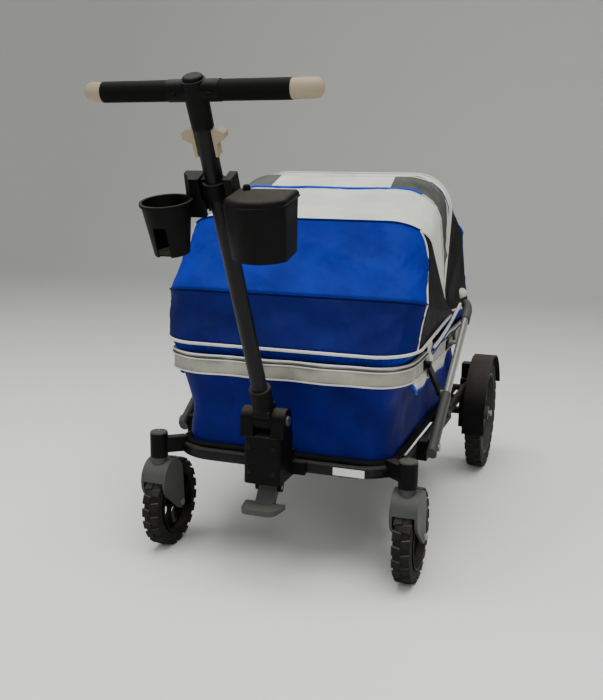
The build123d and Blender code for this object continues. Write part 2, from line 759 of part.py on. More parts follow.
# ---- storage bin on the right ear, with its lid ----
with BuildPart() as storage_bin:
    with BuildSketch(holder_plane(bin_x)):
        with BuildLine():
            Polyline((-bin_width / 2, -bin_corner_front), (-bin_width / 2, bin_back),
                     (bin_width / 2, bin_back), (bin_width / 2, -bin_corner_front))
            ThreePointArc((-bin_width / 2, -bin_corner_front), (0, -bin_bulge),
                          (bin_width / 2, -bin_corner_front))
        make_face()
    extrude(amount=holder_depth, dir=-holder_plane(bin_x).z_dir, taper=4)
    offset(amount=-holder_wall, openings=storage_bin.faces().sort_by(Axis.Z)[-1])
    add(channel_block(1, bin_x - bin_width / 2 + holder_wall))
    add(channel_slot(1), mode=Mode.SUBTRACT)
storage_bin.part.label = "storage_bin"
export_step(storage_bin.part, "parts/storage_bin.step")

lid_left = holder_wall + 1.0 - bin_width / 2
lid_plane = holder_plane(bin_x).offset(body_gap)
with BuildPart() as bin_lid:
    with BuildSketch(lid_plane):
        with BuildLine():
            Polyline((lid_left, -bin_corner_front - 3), (lid_left, bin_back + 2),
                     (bin_width / 2 + 2, bin_back + 2), (bin_width / 2 + 2, -bin_corner_front - 2))
            ThreePointArc((lid_left, -bin_corner_front - 3), (0, -bin_bulge - 2.5),
                          (bin_width / 2 + 2, -bin_corner_front - 2))
        make_face()
    extrude(amount=lid_rise, dir=lid_plane.z_dir)
    lid_top = bin_lid.faces().sort_by(Axis(lid_plane.origin, lid_plane.z_dir))[-1]
    fillet(lid_top.edges(), radius=lid_rise * 0.6)
    pin_centre = lid_plane.origin + lid_plane.x_dir * (bin_width / 2 + 2)
    with BuildSketch(Plane(origin=pin_centre, x_dir=lid_plane.x_dir, z_dir=lid_plane.y_dir)):
        Circle(lid_pin_radius)
    extrude(amount=lid_pin_length / 2, both=True)
bin_lid.part.label = "bin_lid"
export_step(bin_lid.part, "parts/bin_lid.step")

# ---- floor ----
with BuildPart() as floor_board:
    with BuildSketch(Plane.XY.offset(floor_z)):
        with Locations((0, (basket_front_y + basket_rear_y) / 2)):
            RectangleRounded(2 * (basket_x - basket_wall - 2), basket_rear_y - basket_front_y - 2 * basket_wall - 4,
                             basket_corner - 5)
    extrude(amount=floor_thick)
floor_board.part.label = "floor_board"
export_step(floor_board.part, "parts/floor_board.step")

with BuildPart() as floor_pad:
    with BuildSketch(Plane.XY.offset(pad_z)):
        with Locations((0, (basket_front_y + basket_rear_y) / 2)):
            RectangleRounded(2 * (basket_x - basket_wall - 6), basket_rear_y - basket_front_y - 2 * basket_wall - 12,
                             basket_corner - 9)
    extrude(amount=pad_thick)
    fillet(floor_pad.edges().group_by(Axis.Z)[-1], radius=5)
floor_pad.part.label = "floor_pad"
export_step(floor_pad.part, "parts/floor_pad.step")

# ---- basket walls, from the floor to just under the band ----
with BuildPart() as basket_walls:
    with BuildSketch(Plane.XY.offset(floor_z)):
        with Locations((0, (basket_front_y + basket_rear_y) / 2)):
            RectangleRounded(2 * basket_x, basket_rear_y - basket_front_y, basket_corner)
            RectangleRounded(2 * (basket_x - basket_wall), basket_rear_y - basket_front_y - 2 * basket_wall,
                             basket_corner - basket_wall, mode=Mode.SUBTRACT)
    extrude(amount=rim_z - rim_tube_radius - 6 - floor_z)
basket_walls.part.label = "basket_walls"
export_step(basket_walls.part, "parts/basket_walls.step")

# ---- rim hoop ----
rim_corners = ((-rim_x, rim_front_y), (rim_x, rim_front_y), (rim_x, rim_rear_y), (-rim_x, rim_rear_y))
rim_middle_y = (rim_front_y + rim_rear_y) / 2



with BuildPart() as rim_hoop:
    with BuildLine(Plane.XY.offset(rim_z)):
        FilletPolyline(*rim_corners, radius=rim_corner, close=True)
    with BuildSketch(Plane.XZ.offset(-rim_middle_y)):
        with Locations((rim_x, rim_z)):
            Circle(rim_tube_radius)
    sweep()
rim_hoop.part.label = "rim_hoop"
export_step(rim_hoop.part, "parts/rim_hoop.step")

# ---- band round the rim, notched where the brackets pass ----
mount_feet = (plate_front_y - 7, plate_rear_y + 7, arm_foot_y)
foot_half = 7.0
foot_tall = 24.0
with BuildPart() as rim_band:
    with BuildSketch(Plane.XY.offset(band_bottom)):
        with Locations((0, rim_middle_y)):
            band_in = rim_tube_radius + band_gap
            RectangleRounded(2 * (rim_x + band_in + band_thick),
                             rim_rear_y - rim_front_y + 2 * (band_in + band_thick),
                             rim_corner + band_in + band_thick)
            RectangleRounded(2 * (rim_x + band_in), rim_rear_y - rim_front_y + 2 * band_in,
                             rim_corner + band_in, mode=Mode.SUBTRACT)
    extrude(amount=band_top - band_bottom)
    for foot_y in mount_feet:
        with Locations((0, foot_y, rim_z)):
            Box(2 * (mount_x + 10), 2 * (foot_half + body_gap), foot_tall + 2 * body_gap, mode=Mode.SUBTRACT)
rim_band.part.label = "rim_band"
export_step(rim_band.part, "parts/rim_band.step")

# ---- slotted plates and hinge brackets on the rim, for the scissor arms ----
slot_middle_y = (arm_slider_y + slider_end_y) / 2
slot_length = slider_end_y - arm_slider_y + 2 * arm_pin_radius + 12
slot_tall = 2 * (arm_pin_radius + slot_slack)
plate_tall = slot_tall + 10
with BuildPart() as upper_mounts:
    with BuildSketch(side_plane(mount_x, 0, rim_z)):
        with Locations(((plate_front_y + plate_rear_y) / 2, 0)):
            Rectangle(plate_rear_y - plate_front_y + 4 * foot_half, plate_tall)
        with Locations((slot_middle_y, 0)):
            SlotOverall(slot_length, slot_tall, mode=Mode.SUBTRACT)
        with Locations((arm_foot_y, 0)):
            Rectangle(2 * foot_half, foot_tall)
    extrude(amount=mount_thick)
    for foot_y in mount_feet:
        with Locations((rim_x, foot_y, rim_z)):
            Box(mount_x - rim_x + 0.5, 2 * foot_half, foot_tall, align=(Align.MIN, Align.CENTER, Align.CENTER))
    add(rim_hoop.part, mode=Mode.SUBTRACT)
    with BuildSketch(side_plane(rim_x + rim_tube_radius + 3, arm_foot_y, rim_z)):
        Circle(arm_pin_radius)
    extrude(amount=inner_arm_x + inner_arm_thick / 2 + body_gap - rim_x - rim_tube_radius - 3)
    with BuildSketch(side_plane(inner_arm_x + inner_arm_thick / 2 + body_gap, arm_foot_y, rim_z)):
        Circle(arm_pin_radius + 3)
    extrude(amount=2.5)
    mirror(about=Plane.YZ)
upper_mounts.part.label = "upper_arm_mounts"
export_step(upper_mounts.part, "parts/upper_arm_mounts.step")

# ---- slotted plates and hinge brackets on the chassis side tubes ----
tube_side_x = base_x + tube_wide / 2
with BuildPart() as lower_mounts:
    with BuildSketch(side_plane(tube_side_x, 0, 0)):
        with Locations(((plate_front_y + plate_rear_y) / 2, base_z - 8)):
            Rectangle(plate_rear_y - plate_front_y + 2 * foot_half,
                      arm_foot_z + plate_tall / 2 - base_z + 8, align=(Align.CENTER, Align.MIN))
        with Locations((slot_middle_y, arm_foot_z)):
            SlotOverall(slot_length, slot_tall, mode=Mode.SUBTRACT)
    extrude(amount=mount_x + mount_thick - tube_side_x)
    with BuildSketch(side_plane(tube_side_x, arm_foot_y, 0)):
        with Locations((0, base_z - 8)):
            Rectangle(30, arm_foot_z + 14 - base_z + 8, align=(Align.CENTER, Align.MIN))
    extrude(amount=arm_x - arm_wide / 2 - arm_cover_wall - body_gap - tube_side_x)
    with BuildSketch(side_plane(tube_side_x, arm_foot_y, arm_foot_z)):
        Circle(arm_pin_radius)
    extrude(amount=arm_x - tube_side_x, mode=Mode.SUBTRACT)
    mirror(about=Plane.YZ)
lower_mounts.part.label = "lower_arm_mounts"
export_step(lower_mounts.part, "parts/lower_arm_mounts.step")

# ---- pins held by the chassis: handle hinge, pedals, and the feet of the outer arms ----
with BuildPart() as pivot_pins:
    with BuildSketch(side_plane(0, hinge_y, hinge_z)):
        Circle(hinge_pin_radius)
    extrude(amount=bracket_half, both=True)
    for end_x in (bracket_half, -bracket_half - 3):
        with BuildSketch(side_plane(end_x, hinge_y, hinge_z)):
            Circle(hinge_pin_radius + 5)
        extrude(amount=3)
    with BuildSketch(side_plane(0, pedal_y, pedal_z)):
        Circle(pedal_pin_radius)
    extrude(amount=pedal_half + body_gap + 8, both=True)
    with BuildSketch(side_plane(0, brake_y, brake_z)):
        Circle(brake_pin_radius)
    extrude(amount=brake_half + body_gap + lug_thick, both=True)
    for side, sign in sides:
        with BuildSketch(side_plane(sign * tube_side_x, arm_foot_y, arm_foot_z)):
            Circle(arm_pin_radius)
        extrude(amount=sign * (arm_x + arm_wide / 2 + arm_cover_wall + 1 - tube_side_x))
        with BuildSketch(side_plane(sign * (arm_x + arm_wide / 2 + arm_cover_wall + 1), arm_foot_y, arm_foot_z)):
            Circle(arm_pin_radius + 4)
        extrude(amount=sign * 4)
pivot_pins.part.label = "pivot_pins"
export_step(pivot_pins.part, "parts/pivot_pins.step")

# ---- scissor arms ----
arm_up = Vector(0, cos(radians(arm_angle)), sin(radians(arm_angle)))
arm_down = Vector(0, cos(radians(arm_angle)), -sin(radians(arm_angle)))
for side, sign in sides:
    arm_foot = Vector(sign * arm_x, arm_foot_y, arm_foot_z)

    def arm_plane(distance):
        """Section across the outer arm, with its x along the arm's height."""
        return Plane(origin=arm_foot + arm_up * distance, x_dir=arm_up.rotate(Axis.X, 90), z_dir=arm_up)

    # outer arm: flat-oval tube with its sliding pin and the crossing pin
    with BuildPart() as outer_arm:
        with BuildSketch(arm_plane(-16)):
            SlotOverall(arm_tall, arm_wide)
            offset(amount=-tube_wall, mode=Mode.SUBTRACT)
        extrude(amount=arm_length - 14)
        with BuildSketch(side_plane(sign * arm_x, arm_foot_y, arm_foot_z)):
            Circle(arm_pin_radius + running_fit)
        extrude(amount=arm_wide, both=True, mode=Mode.SUBTRACT)
        with BuildSketch(side_plane(sign * (arm_x + arm_wide / 2), arm_slider_y, rim_z)):
            Circle(arm_pin_radius)
        extrude(amount=-sign * (arm_x + arm_wide / 2 - mount_x - 0.5))
        with BuildSketch(side_plane(sign * (arm_x + arm_wide / 2), (arm_foot_y + arm_slider_y) / 2,
                                    (arm_foot_z + rim_z) / 2)):
            Circle(cross_pin_radius)
        extrude(amount=-sign * (arm_x + arm_wide / 2 - inner_arm_x + inner_arm_thick / 2 + 1))
    outer_arm.part.label = f"outer_arm_{side}"
    export_step(outer_arm.part, f"parts/outer_arm_{side}.step")

    # plastic cover on its foot and elbow on its top, both round the tube
    with BuildPart() as arm_fittings:
        with BuildSketch(arm_plane(-20)):
            SlotOverall(arm_tall + 2 * arm_cover_wall, arm_wide + 2 * arm_cover_wall)
        extrude(amount=arm_cover_length + 20)
        with BuildSketch(arm_plane(arm_length - 60)):
            SlotOverall(arm_tall + 2 * arm_cover_wall, arm_wide + 2 * arm_cover_wall)
        elbow_start = arm_foot + arm_up * (arm_length - 60)
        elbow_bend = arm_foot + arm_up * (arm_length - 22)
        with BuildLine():
            Line(elbow_start, elbow_bend)
            TangentArc(elbow_bend, elbow_bend + arm_up * 26 + Vector(-sign * 9, 0, 0), tangent=arm_up)
        sweep()
        with BuildSketch(arm_plane(-17)):
            SlotOverall(arm_tall + 0.1, arm_wide + 0.1)
        extrude(amount=arm_length - 12.5, mode=Mode.SUBTRACT)
        with BuildSketch(side_plane(sign * arm_x, arm_foot_y, arm_foot_z)):
            Circle(arm_pin_radius + 1)
        extrude(amount=2 * arm_wide, both=True, mode=Mode.SUBTRACT)
    arm_fittings.part.label = f"arm_fittings_{side}"
    export_step(arm_fittings.part, f"parts/arm_fittings_{side}.step")

    # inner arm: flat bar that hangs from the rim, with a boss at the crossing and a sliding pin
    inner_top = Vector(sign * inner_arm_x, arm_foot_y, rim_z)
    with BuildPart() as inner_arm:
        with BuildSketch(Plane(origin=inner_top, x_dir=arm_down, z_dir=(1, 0, 0))):
            with Locations((arm_reach / 2, 0)):
                SlotCenterToCenter(arm_reach, inner_arm_tall)
                Circle(inner_arm_tall * 0.75)
                Circle(cross_pin_radius + cross_pin_slack, mode=Mode.SUBTRACT)
            Circle(arm_pin_radius + running_fit, mode=Mode.SUBTRACT)
        extrude(amount=inner_arm_thick / 2, both=True)
        with BuildSketch(side_plane(sign * inner_arm_x, arm_slider_y, arm_foot_z)):
            Circle(arm_pin_radius)
        extrude(amount=-sign * (inner_arm_x - mount_x - 0.5))
    inner_arm.part.label = f"inner_arm_{side}"
    export_step(inner_arm.part, f"parts/inner_arm_{side}.step")

# ---- canopy brackets on the rim, each with the pin that the bows turn on ----
plate_out_x = outer_eye_x - (len(bows) - 0.5) * bow_pitch
plate_in_x = plate_out_x - 9
with BuildPart() as canopy_brackets:
    with BuildSketch(side_plane(plate_in_x, pivot_y, 0)):
        with Locations((0, pivot_z)):
            Circle(eye_radius + 3)
        with Locations((0, rim_z)):
            Rectangle(40, 22)
        make_hull()
    extrude(amount=plate_out_x - plate_in_x)
    with Locations((plate_in_x, pivot_y, rim_z)):
        Box(rim_x - plate_in_x, 40, 22, align=(Align.MIN, Align.CENTER, Align.CENTER))
    add(rim_hoop.part, mode=Mode.SUBTRACT)
    with BuildSketch(side_plane(plate_in_x, pivot_y, pivot_z)):
        Circle(pivot_pin_radius)
    extrude(amount=outer_eye_x + bow_pitch / 2 + 1 - plate_in_x)
    with BuildSketch(side_plane(outer_eye_x + bow_pitch / 2, pivot_y, pivot_z)):
        Circle(eye_radius - 2)
    extrude(amount=3)
    mirror(about=Plane.YZ)
canopy_brackets.part.label = "canopy_brackets"
export_step(canopy_brackets.part, "parts/canopy_brackets.step")

# ---- canopy bows: a hoop from eye to eye, each at its own angle about the pivot pins ----
for index, (bow_name, angle, reach, half_width, corner) in enumerate(bows):
    eye_x = outer_eye_x - index * bow_pitch
    lean = radians(angle)
    bow_plane = Plane(origin=(0, pivot_y, pivot_z), x_dir=(1, 0, 0), z_dir=(0, -sin(lean), -cos(lean)))
    foot_reach = eye_radius - bow_radius - 1
    with BuildPart() as bow:
        with BuildLine(bow_plane) as bow_path:
            FilletPolyline((-eye_x, foot_reach), (-half_width, reach), (half_width, reach),
                           (eye_x, foot_reach), radius=corner)
        with BuildSketch(Plane(origin=bow_path.wire() @ 0, z_dir=bow_path.wire() % 0)):
            Circle(bow_radius)
        sweep()
        for side, sign in sides:
            with BuildSketch(side_plane(sign * eye_x, pivot_y, pivot_z)):
                Circle(eye_radius)
            extrude(amount=(bow_pitch - body_gap) / 2, both=True)
        with BuildSketch(side_plane(0, pivot_y, pivot_z)):
            Circle(pivot_pin_radius + running_fit)
        extrude(amount=outer_eye_x + bow_pitch, both=True, mode=Mode.SUBTRACT)
    bow.part.label = bow_name
    export_step(bow.part, f"parts/{bow_name}.step")

# ---- canopy cloth: a closed tent over the bows, parted above the pivots ----
with BuildPart() as canopy:
    with BuildSketch(side_plane(0, 0, 0)):
        with BuildLine():
            roof = Polyline((-322, cloth_bottom), (-305, 600), (-212, 762), (-90, 846), (117, 853),
                            (290, 812), (420, 700), (476, 590), (484, cloth_bottom), close=True)
        make_face()
    extrude(amount=cloth_x, both=True)
    fillet(canopy.edges().filter_by(lambda edge: abs(edge.center().X) > cloth_x - 1
                                    and edge.center().Z > cloth_bottom + 1), radius=60)
    offset(amount=-cloth_thick, openings=canopy.faces().sort_by(Axis.Z)[0])
for cloth_name, keep in (("front_canopy_cloth", Keep.TOP), ("rear_canopy_cloth", Keep.BOTTOM)):
    with BuildPart() as cloth:
        add(canopy.part)
        split(bisect_by=Plane.XZ.offset(-pivot_y), keep=keep)
    cloth.part.label = cloth_name
    export_step(cloth.part, f"parts/{cloth_name}.step")

# ---- side pockets hanging outside the basket, under the band ----
pocket_front_y = -130.0
pocket_rear_y = 100.0
with BuildPart() as side_pockets:
    for side, sign in sides:
        with BuildSketch(side_plane(sign * (mount_x + 3), 0, 0)):
            with Locations(((pocket_front_y + pocket_rear_y) / 2, band_bottom - 1)):
                Rectangle(pocket_rear_y - pocket_front_y, 36, align=(Align.CENTER, Align.MAX))
    extrude(amount=2.5, both=True)
side_pockets.part.label = "side_pockets"
export_step(side_pockets.part, "parts/side_pockets.step")
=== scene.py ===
# %% [markdown]
# # A folding beach cart with a two-part canopy
# The cart's frame, wheels, handle and hinges arrive as finished solids. This lesson adds what
# solids do badly: the stretched canopy, the gathered skirt, the padded band, the basket, the
# tyres' tread and the small fasteners, and it gives every surface a finish made from nodes.
# Everything is in metres. The cart's right is +X, its rear is +Y and up is +Z.

import bpy
import bmesh
from math import sin, cos, pi, radians
from mathutils import Vector, Matrix


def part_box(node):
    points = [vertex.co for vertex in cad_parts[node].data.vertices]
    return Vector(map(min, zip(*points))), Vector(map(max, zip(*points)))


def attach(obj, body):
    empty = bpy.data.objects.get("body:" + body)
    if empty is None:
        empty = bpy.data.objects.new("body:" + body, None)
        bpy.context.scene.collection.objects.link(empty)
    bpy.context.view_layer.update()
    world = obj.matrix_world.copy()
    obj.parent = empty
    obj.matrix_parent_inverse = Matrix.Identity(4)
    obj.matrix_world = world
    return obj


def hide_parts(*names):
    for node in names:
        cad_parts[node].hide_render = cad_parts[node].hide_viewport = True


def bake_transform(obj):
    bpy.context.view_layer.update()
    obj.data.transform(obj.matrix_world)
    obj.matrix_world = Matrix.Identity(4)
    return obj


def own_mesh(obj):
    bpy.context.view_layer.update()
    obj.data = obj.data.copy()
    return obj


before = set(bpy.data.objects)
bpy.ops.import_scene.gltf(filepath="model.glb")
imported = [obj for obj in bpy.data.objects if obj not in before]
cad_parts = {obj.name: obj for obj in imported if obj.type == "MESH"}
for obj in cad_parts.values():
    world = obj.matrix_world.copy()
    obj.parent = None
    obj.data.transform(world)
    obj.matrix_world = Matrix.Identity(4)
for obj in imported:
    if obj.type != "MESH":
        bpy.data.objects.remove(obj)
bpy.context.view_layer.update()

# %% [markdown]
# ## Camera and studio
# The cart is seen from its front, a little to its right and from just under eye height.
# A long lens keeps the four wheels in natural proportion. A pale sheet that curves up behind
# the cart, one broad soft light above and two side panels give the even light of a
# catalogue picture.

# %% Camera
def in_scene(name, data):
    """A new object in the scene that shows the data."""
    thing = bpy.data.objects.new(name, data)
    bpy.context.scene.collection.objects.link(thing)
    return thing


camera_at = Vector((0.6562, -2.0889, 0.8517))
yaw, pitch, roll = 0.3482, -0.1948, 0.0115
ahead = Vector((-sin(yaw) * cos(pitch), cos(yaw) * cos(pitch), sin(pitch)))
level_right = Vector((cos(yaw), sin(yaw), 0))
level_up = level_right.cross(ahead)
cam_right = cos(roll) * level_right + sin(roll) * level_up
cam_up = cos(roll) * level_up - sin(roll) * level_right
lens = bpy.data.cameras.new("camera")
lens.lens = 47.2
lens.shift_x, lens.shift_y = 0.021, 0.003
camera = in_scene("camera", lens)
turn = Matrix((cam_right, cam_up, -ahead)).transposed().to_4x4()
camera.matrix_world = Matrix.Translation(camera_at) @ turn
bpy.context.scene.camera = camera


# %% Selection helpers
def start_clean():
    """Leave edit mode's leftovers and select nothing, so that an operator acts on one piece."""
    if bpy.context.object and bpy.context.object.mode != "OBJECT":
        bpy.ops.object.mode_set(mode="OBJECT")
    bpy.ops.object.select_all(action="DESELECT")


def only(piece):
    """Select this piece alone and make it active."""
    start_clean()
    piece.select_set(True)
    bpy.context.view_layer.objects.active = piece
    return piece


def settle(piece, name):
    """Name the piece and put its place into its mesh."""
    only(piece)
    piece.name = piece.data.name = name
    bpy.ops.object.transform_apply(location=True, rotation=True, scale=True)
    return piece


def apply_all(piece):
    """Apply the piece's modifiers in order."""
    only(piece)
    for m in list(piece.modifiers):
        bpy.ops.object.modifier_apply(modifier=m.name)
    return piece


def clean(piece, merge=0.0, turn_out=True):
    """Merge points closer than merge, and turn the faces outwards."""
    only(piece)
    bpy.ops.object.mode_set(mode="EDIT")
    bpy.ops.mesh.select_all(action="SELECT")
    if merge:
        bpy.ops.mesh.remove_doubles(threshold=merge)
    if turn_out:
        bpy.ops.mesh.normals_make_consistent(inside=False)
    bpy.ops.object.mode_set(mode="OBJECT")


def join(pieces, name):
    """Make one mesh of several."""
    start_clean()
    for p in pieces:
        p.select_set(True)
    bpy.context.view_layer.objects.active = pieces[0]
    bpy.ops.object.join()
    return settle(bpy.context.object, name)


def copy_of(piece, matrix):
    """A copy with its own mesh, moved by a matrix that goes into the mesh."""
    twin = in_scene(piece.name, piece.data.copy())
    twin.data.transform(matrix)
    return twin


# %% Studio floor and lights
start_clean()
bpy.ops.mesh.primitive_plane_add(size=14, location=(0, 0, 0))
floor = bpy.context.object
bpy.ops.object.mode_set(mode="EDIT")
bm = bmesh.from_edit_mesh(floor.data)
for e in bm.edges:
    e.select = all(v.co.y > 0 for v in e.verts)
bpy.ops.mesh.extrude_region_move(TRANSFORM_OT_translate={"value": (0, 0, 8)})
bpy.ops.object.mode_set(mode="OBJECT")
floor.name = "studio_floor"
bend = floor.modifiers.new("curve", "BEVEL")
bend.width, bend.segments = 2.5, 16
apply_all(floor)
bpy.ops.object.shade_smooth()


def soft_light(name, at, aim, size, power):
    """A square panel light that faces a point."""
    lamp = bpy.data.lights.new(name, "AREA")
    lamp.size, lamp.energy = size, power
    stand = in_scene(name, lamp)
    stand.location = at
    toward = Vector(aim) - Vector(at)
    stand.rotation_euler = toward.to_track_quat("-Z", "Y").to_euler()


soft_light("top_panel", (0.2, -0.6, 3.4), (0, 0, 0.3), 3.4, 165)
soft_light("front_panel", (1.7, -3.4, 2.0), (0, 0, 0.5), 2.4, 48)
soft_light("left_panel", (-3.2, -1.4, 1.7), (0, 0, 0.5), 2.2, 26)
world = bpy.data.worlds.new("studio_air")
world.use_nodes = True
world.node_tree.nodes["Background"].inputs["Color"].default_value = (0.96, 0.97, 1.0, 1)
world.node_tree.nodes["Background"].inputs["Strength"].default_value = 0.95
bpy.context.scene.world = world

# %% [markdown]
# ## Shared surface effects
# Four effects come back on many finishes, so each is a node group with named inputs: slow
# mottling, the threads of a woven cloth, the fine grain of moulded plastic, and scuffs. Each
# material places them with its own scale and strength.


# %% Node helpers
def srgb(r, g, b):
    """A colour given in 0 to 255 as the eye sees it, made linear."""
    lin = [(c / 255 / 12.92 if c / 255 <= 0.04045 else ((c / 255 + 0.055) / 1.055) ** 2.4)
           for c in (r, g, b)]
    return (*lin, 1.0)


def add_node(tree, kind, inputs=(), **settings):
    """A node with its settings, and its inputs given as values or as other nodes' sockets."""
    n = tree.nodes.new(kind)
    for key, value in settings.items():
        setattr(n, key, value)
    for key, value in dict(inputs).items():
        if isinstance(value, bpy.types.NodeSocket):
            tree.links.new(value, n.inputs[key])
        else:
            n.inputs[key].default_value = value
    return n


def calc(tree, operation, *values):
    """The result socket of a math node."""
    return add_node(tree, "ShaderNodeMath", enumerate(values), operation=operation).outputs[0]


def mix_colour(tree, share, first, second):
    """The colour socket of a mix from the first colour to the second."""
    return add_node(tree, "ShaderNodeMix", {0: share, 6: first, 7: second},
                    data_type="RGBA").outputs[2]


def new_group(name, ins, outs):
    """An empty node group with its sockets. A float input is given with its usual value."""
    g = bpy.data.node_groups.new(name, "ShaderNodeTree")
    for label, value in ins:
        kind = "NodeSocketVector" if value is None else "NodeSocketFloat"
        socket = g.interface.new_socket(label, in_out="INPUT", socket_type=kind)
        if value is not None:
            socket.default_value = value
    for label in outs:
        g.interface.new_socket(label, in_out="OUTPUT", socket_type="NodeSocketFloat")
    return g, g.nodes.new("NodeGroupInput").outputs, g.nodes.new("NodeGroupOutput").inputs


# %% Slow mottling
mottle_group, i, o = new_group("slow_mottle", [("Vector", None), ("Scale", 9.0)], ["Mask"])
broad = add_node(mottle_group, "ShaderNodeTexNoise",
                 {"Vector": i["Vector"], "Scale": i["Scale"], "Detail": 4.0, "Roughness": 0.6})
stretch = add_node(mottle_group, "ShaderNodeMapRange",
                   {"Value": broad.outputs["Fac"], "From Min": 0.3, "From Max": 0.7})
mottle_group.links.new(stretch.outputs["Result"], o["Mask"])

# %% Woven threads
weave_group, i, o = new_group("woven_threads", [("Vector", None), ("Threads", 900.0)],
                              ["Height", "Gap"])
across = add_node(weave_group, "ShaderNodeVectorMath",
                  {0: i["Vector"]}, operation="SCALE")
weave_group.links.new(i["Threads"], across.inputs["Scale"])
parts_xy = add_node(weave_group, "ShaderNodeSeparateXYZ", {0: across.outputs[0]})
warp = calc(weave_group, "SINE", parts_xy.outputs["X"])
weft = calc(weave_group, "SINE", parts_xy.outputs["Y"])
over = calc(weave_group, "MULTIPLY", warp, weft)
lift = add_node(weave_group, "ShaderNodeMapRange",
                {"Value": over, "From Min": -1.0, "From Max": 1.0})
gap = calc(weave_group, "LESS_THAN", lift.outputs["Result"], 0.55)
weave_group.links.new(lift.outputs["Result"], o["Height"])
weave_group.links.new(gap, o["Gap"])

# %% Moulded grain
grain_group, i, o = new_group("moulded_grain", [("Vector", None), ("Scale", 700.0)], ["Height"])
pebbles = add_node(grain_group, "ShaderNodeTexVoronoi",
                   {"Vector": i["Vector"], "Scale": i["Scale"]}, feature="SMOOTH_F1")
grain_group.links.new(pebbles.outputs["Distance"], o["Height"])

# %% Scuffs and dust
scuff_group, i, o = new_group("scuffs", [("Vector", None), ("Amount", 0.4)], ["Mask", "Dust"])
thin = add_node(scuff_group, "ShaderNodeTexNoise",
                {"Vector": i["Vector"], "Scale": 55.0, "Detail": 8.0, "Roughness": 0.75,
                 "Distortion": 2.5})
marks = add_node(scuff_group, "ShaderNodeMapRange",
                 {"Value": thin.outputs["Fac"], "From Min": 0.58, "From Max": 0.75})
faded = calc(scuff_group, "MULTIPLY", marks.outputs["Result"], i["Amount"])
way_up = add_node(scuff_group, "ShaderNodeNewGeometry")
up_part = add_node(scuff_group, "ShaderNodeSeparateXYZ", {0: way_up.outputs["Normal"]})
settled = add_node(scuff_group, "ShaderNodeMapRange",
                   {"Value": up_part.outputs["Z"], "From Min": 0.35, "From Max": 1.0})
patchy = calc(scuff_group, "MULTIPLY", settled.outputs["Result"], thin.outputs["Fac"])
dusty = calc(scuff_group, "MULTIPLY", patchy, i["Amount"])
scuff_group.links.new(faded, o["Mask"])
scuff_group.links.new(dusty, o["Dust"])

# %% [markdown]
# ## Finishes
# Two recipes cover the cart. Hard parts are paint, metal, plastic or rubber: a base colour, a
# mottled lighter tone, scuffs, a little settled dust and a fine bump. Cloth has a weave that
# follows its own UV map, which is measured in metres, so the threads keep their size on every
# panel.


# %% Hard finishes
def hard_finish(name, tone, worn, rough, metal=0.0, grain=700.0, depth=0.0002, wear=0.4,
                coat=0.0, shine=0.2):
    """Paint, metal, plastic or rubber, patterned on the piece's own coordinates."""
    m = bpy.data.materials.new(name)
    m.use_nodes = True
    t = m.node_tree
    shader = t.nodes["Principled BSDF"]
    shader.inputs["Metallic"].default_value = metal
    shader.inputs["Coat Weight"].default_value = coat
    shader.inputs["Specular IOR Level"].default_value = shine
    place = add_node(t, "ShaderNodeTexCoord").outputs["Object"]
    mottle = add_node(t, "ShaderNodeGroup", node_tree=mottle_group)
    scuff = add_node(t, "ShaderNodeGroup", node_tree=scuff_group)
    pebble = add_node(t, "ShaderNodeGroup", node_tree=grain_group)
    for g in (mottle, scuff, pebble):
        t.links.new(place, g.inputs["Vector"])
    mottle.inputs["Scale"].default_value = 14.0
    scuff.inputs["Amount"].default_value = wear
    pebble.inputs["Scale"].default_value = grain
    quiet = calc(t, "MULTIPLY", mottle.outputs["Mask"], 0.25)
    mottled = mix_colour(t, quiet, srgb(*tone), srgb(*worn))
    scuffed = mix_colour(t, scuff.outputs["Mask"], mottled, srgb(*worn))
    dusted = mix_colour(t, scuff.outputs["Dust"], scuffed, srgb(120, 114, 104))
    t.links.new(dusted, shader.inputs["Base Color"])
    dull = add_node(t, "ShaderNodeMapRange",
                    {"Value": mottle.outputs["Mask"], "To Min": rough - 0.06,
                     "To Max": rough + 0.1})
    t.links.new(dull.outputs["Result"], shader.inputs["Roughness"])
    bump = add_node(t, "ShaderNodeBump", {"Height": pebble.outputs["Height"],
                                          "Strength": 0.5, "Distance": depth})
    t.links.new(bump.outputs["Normal"], shader.inputs["Normal"])
    return m


finish = {}
for name, tone, worn, rough, more in (
        ("frame_paint", (9, 9, 10), (36, 36, 38), 0.45, dict(wear=0.35, coat=0.04, shine=0.14)),
        ("steel", (150, 150, 152), (110, 106, 100), 0.35, dict(metal=1.0, wear=0.6)),
        ("black_plastic", (6, 6, 6), (26, 26, 25), 0.5, dict(shine=0.08)),
        ("grey_plastic", (58, 60, 58), (86, 88, 85), 0.52, {}),
        ("rim_plastic", (48, 49, 49), (78, 79, 78), 0.5, {}),
        ("tyre_rubber", (14, 14, 13), (48, 46, 41), 0.78, dict(grain=420.0, wear=0.7)),
        ("foam", (11, 11, 10), (26, 26, 25), 0.85,
         dict(grain=900.0, shine=0.08, depth=0.0006, wear=0.2)),
        ("beige_plastic", (150, 137, 114), (132, 119, 97), 0.45, dict(wear=0.5)),
        ("arm_silver", (142, 140, 136), (172, 169, 164), 0.36, dict(metal=0.5, wear=0.4)),
        ("bow_rod", (40, 40, 40), (80, 80, 80), 0.4, {}),
        ("floor_board", (30, 30, 31), (60, 60, 62), 0.7, {})):
    finish[name] = hard_finish(name, tone, worn, rough, **more)
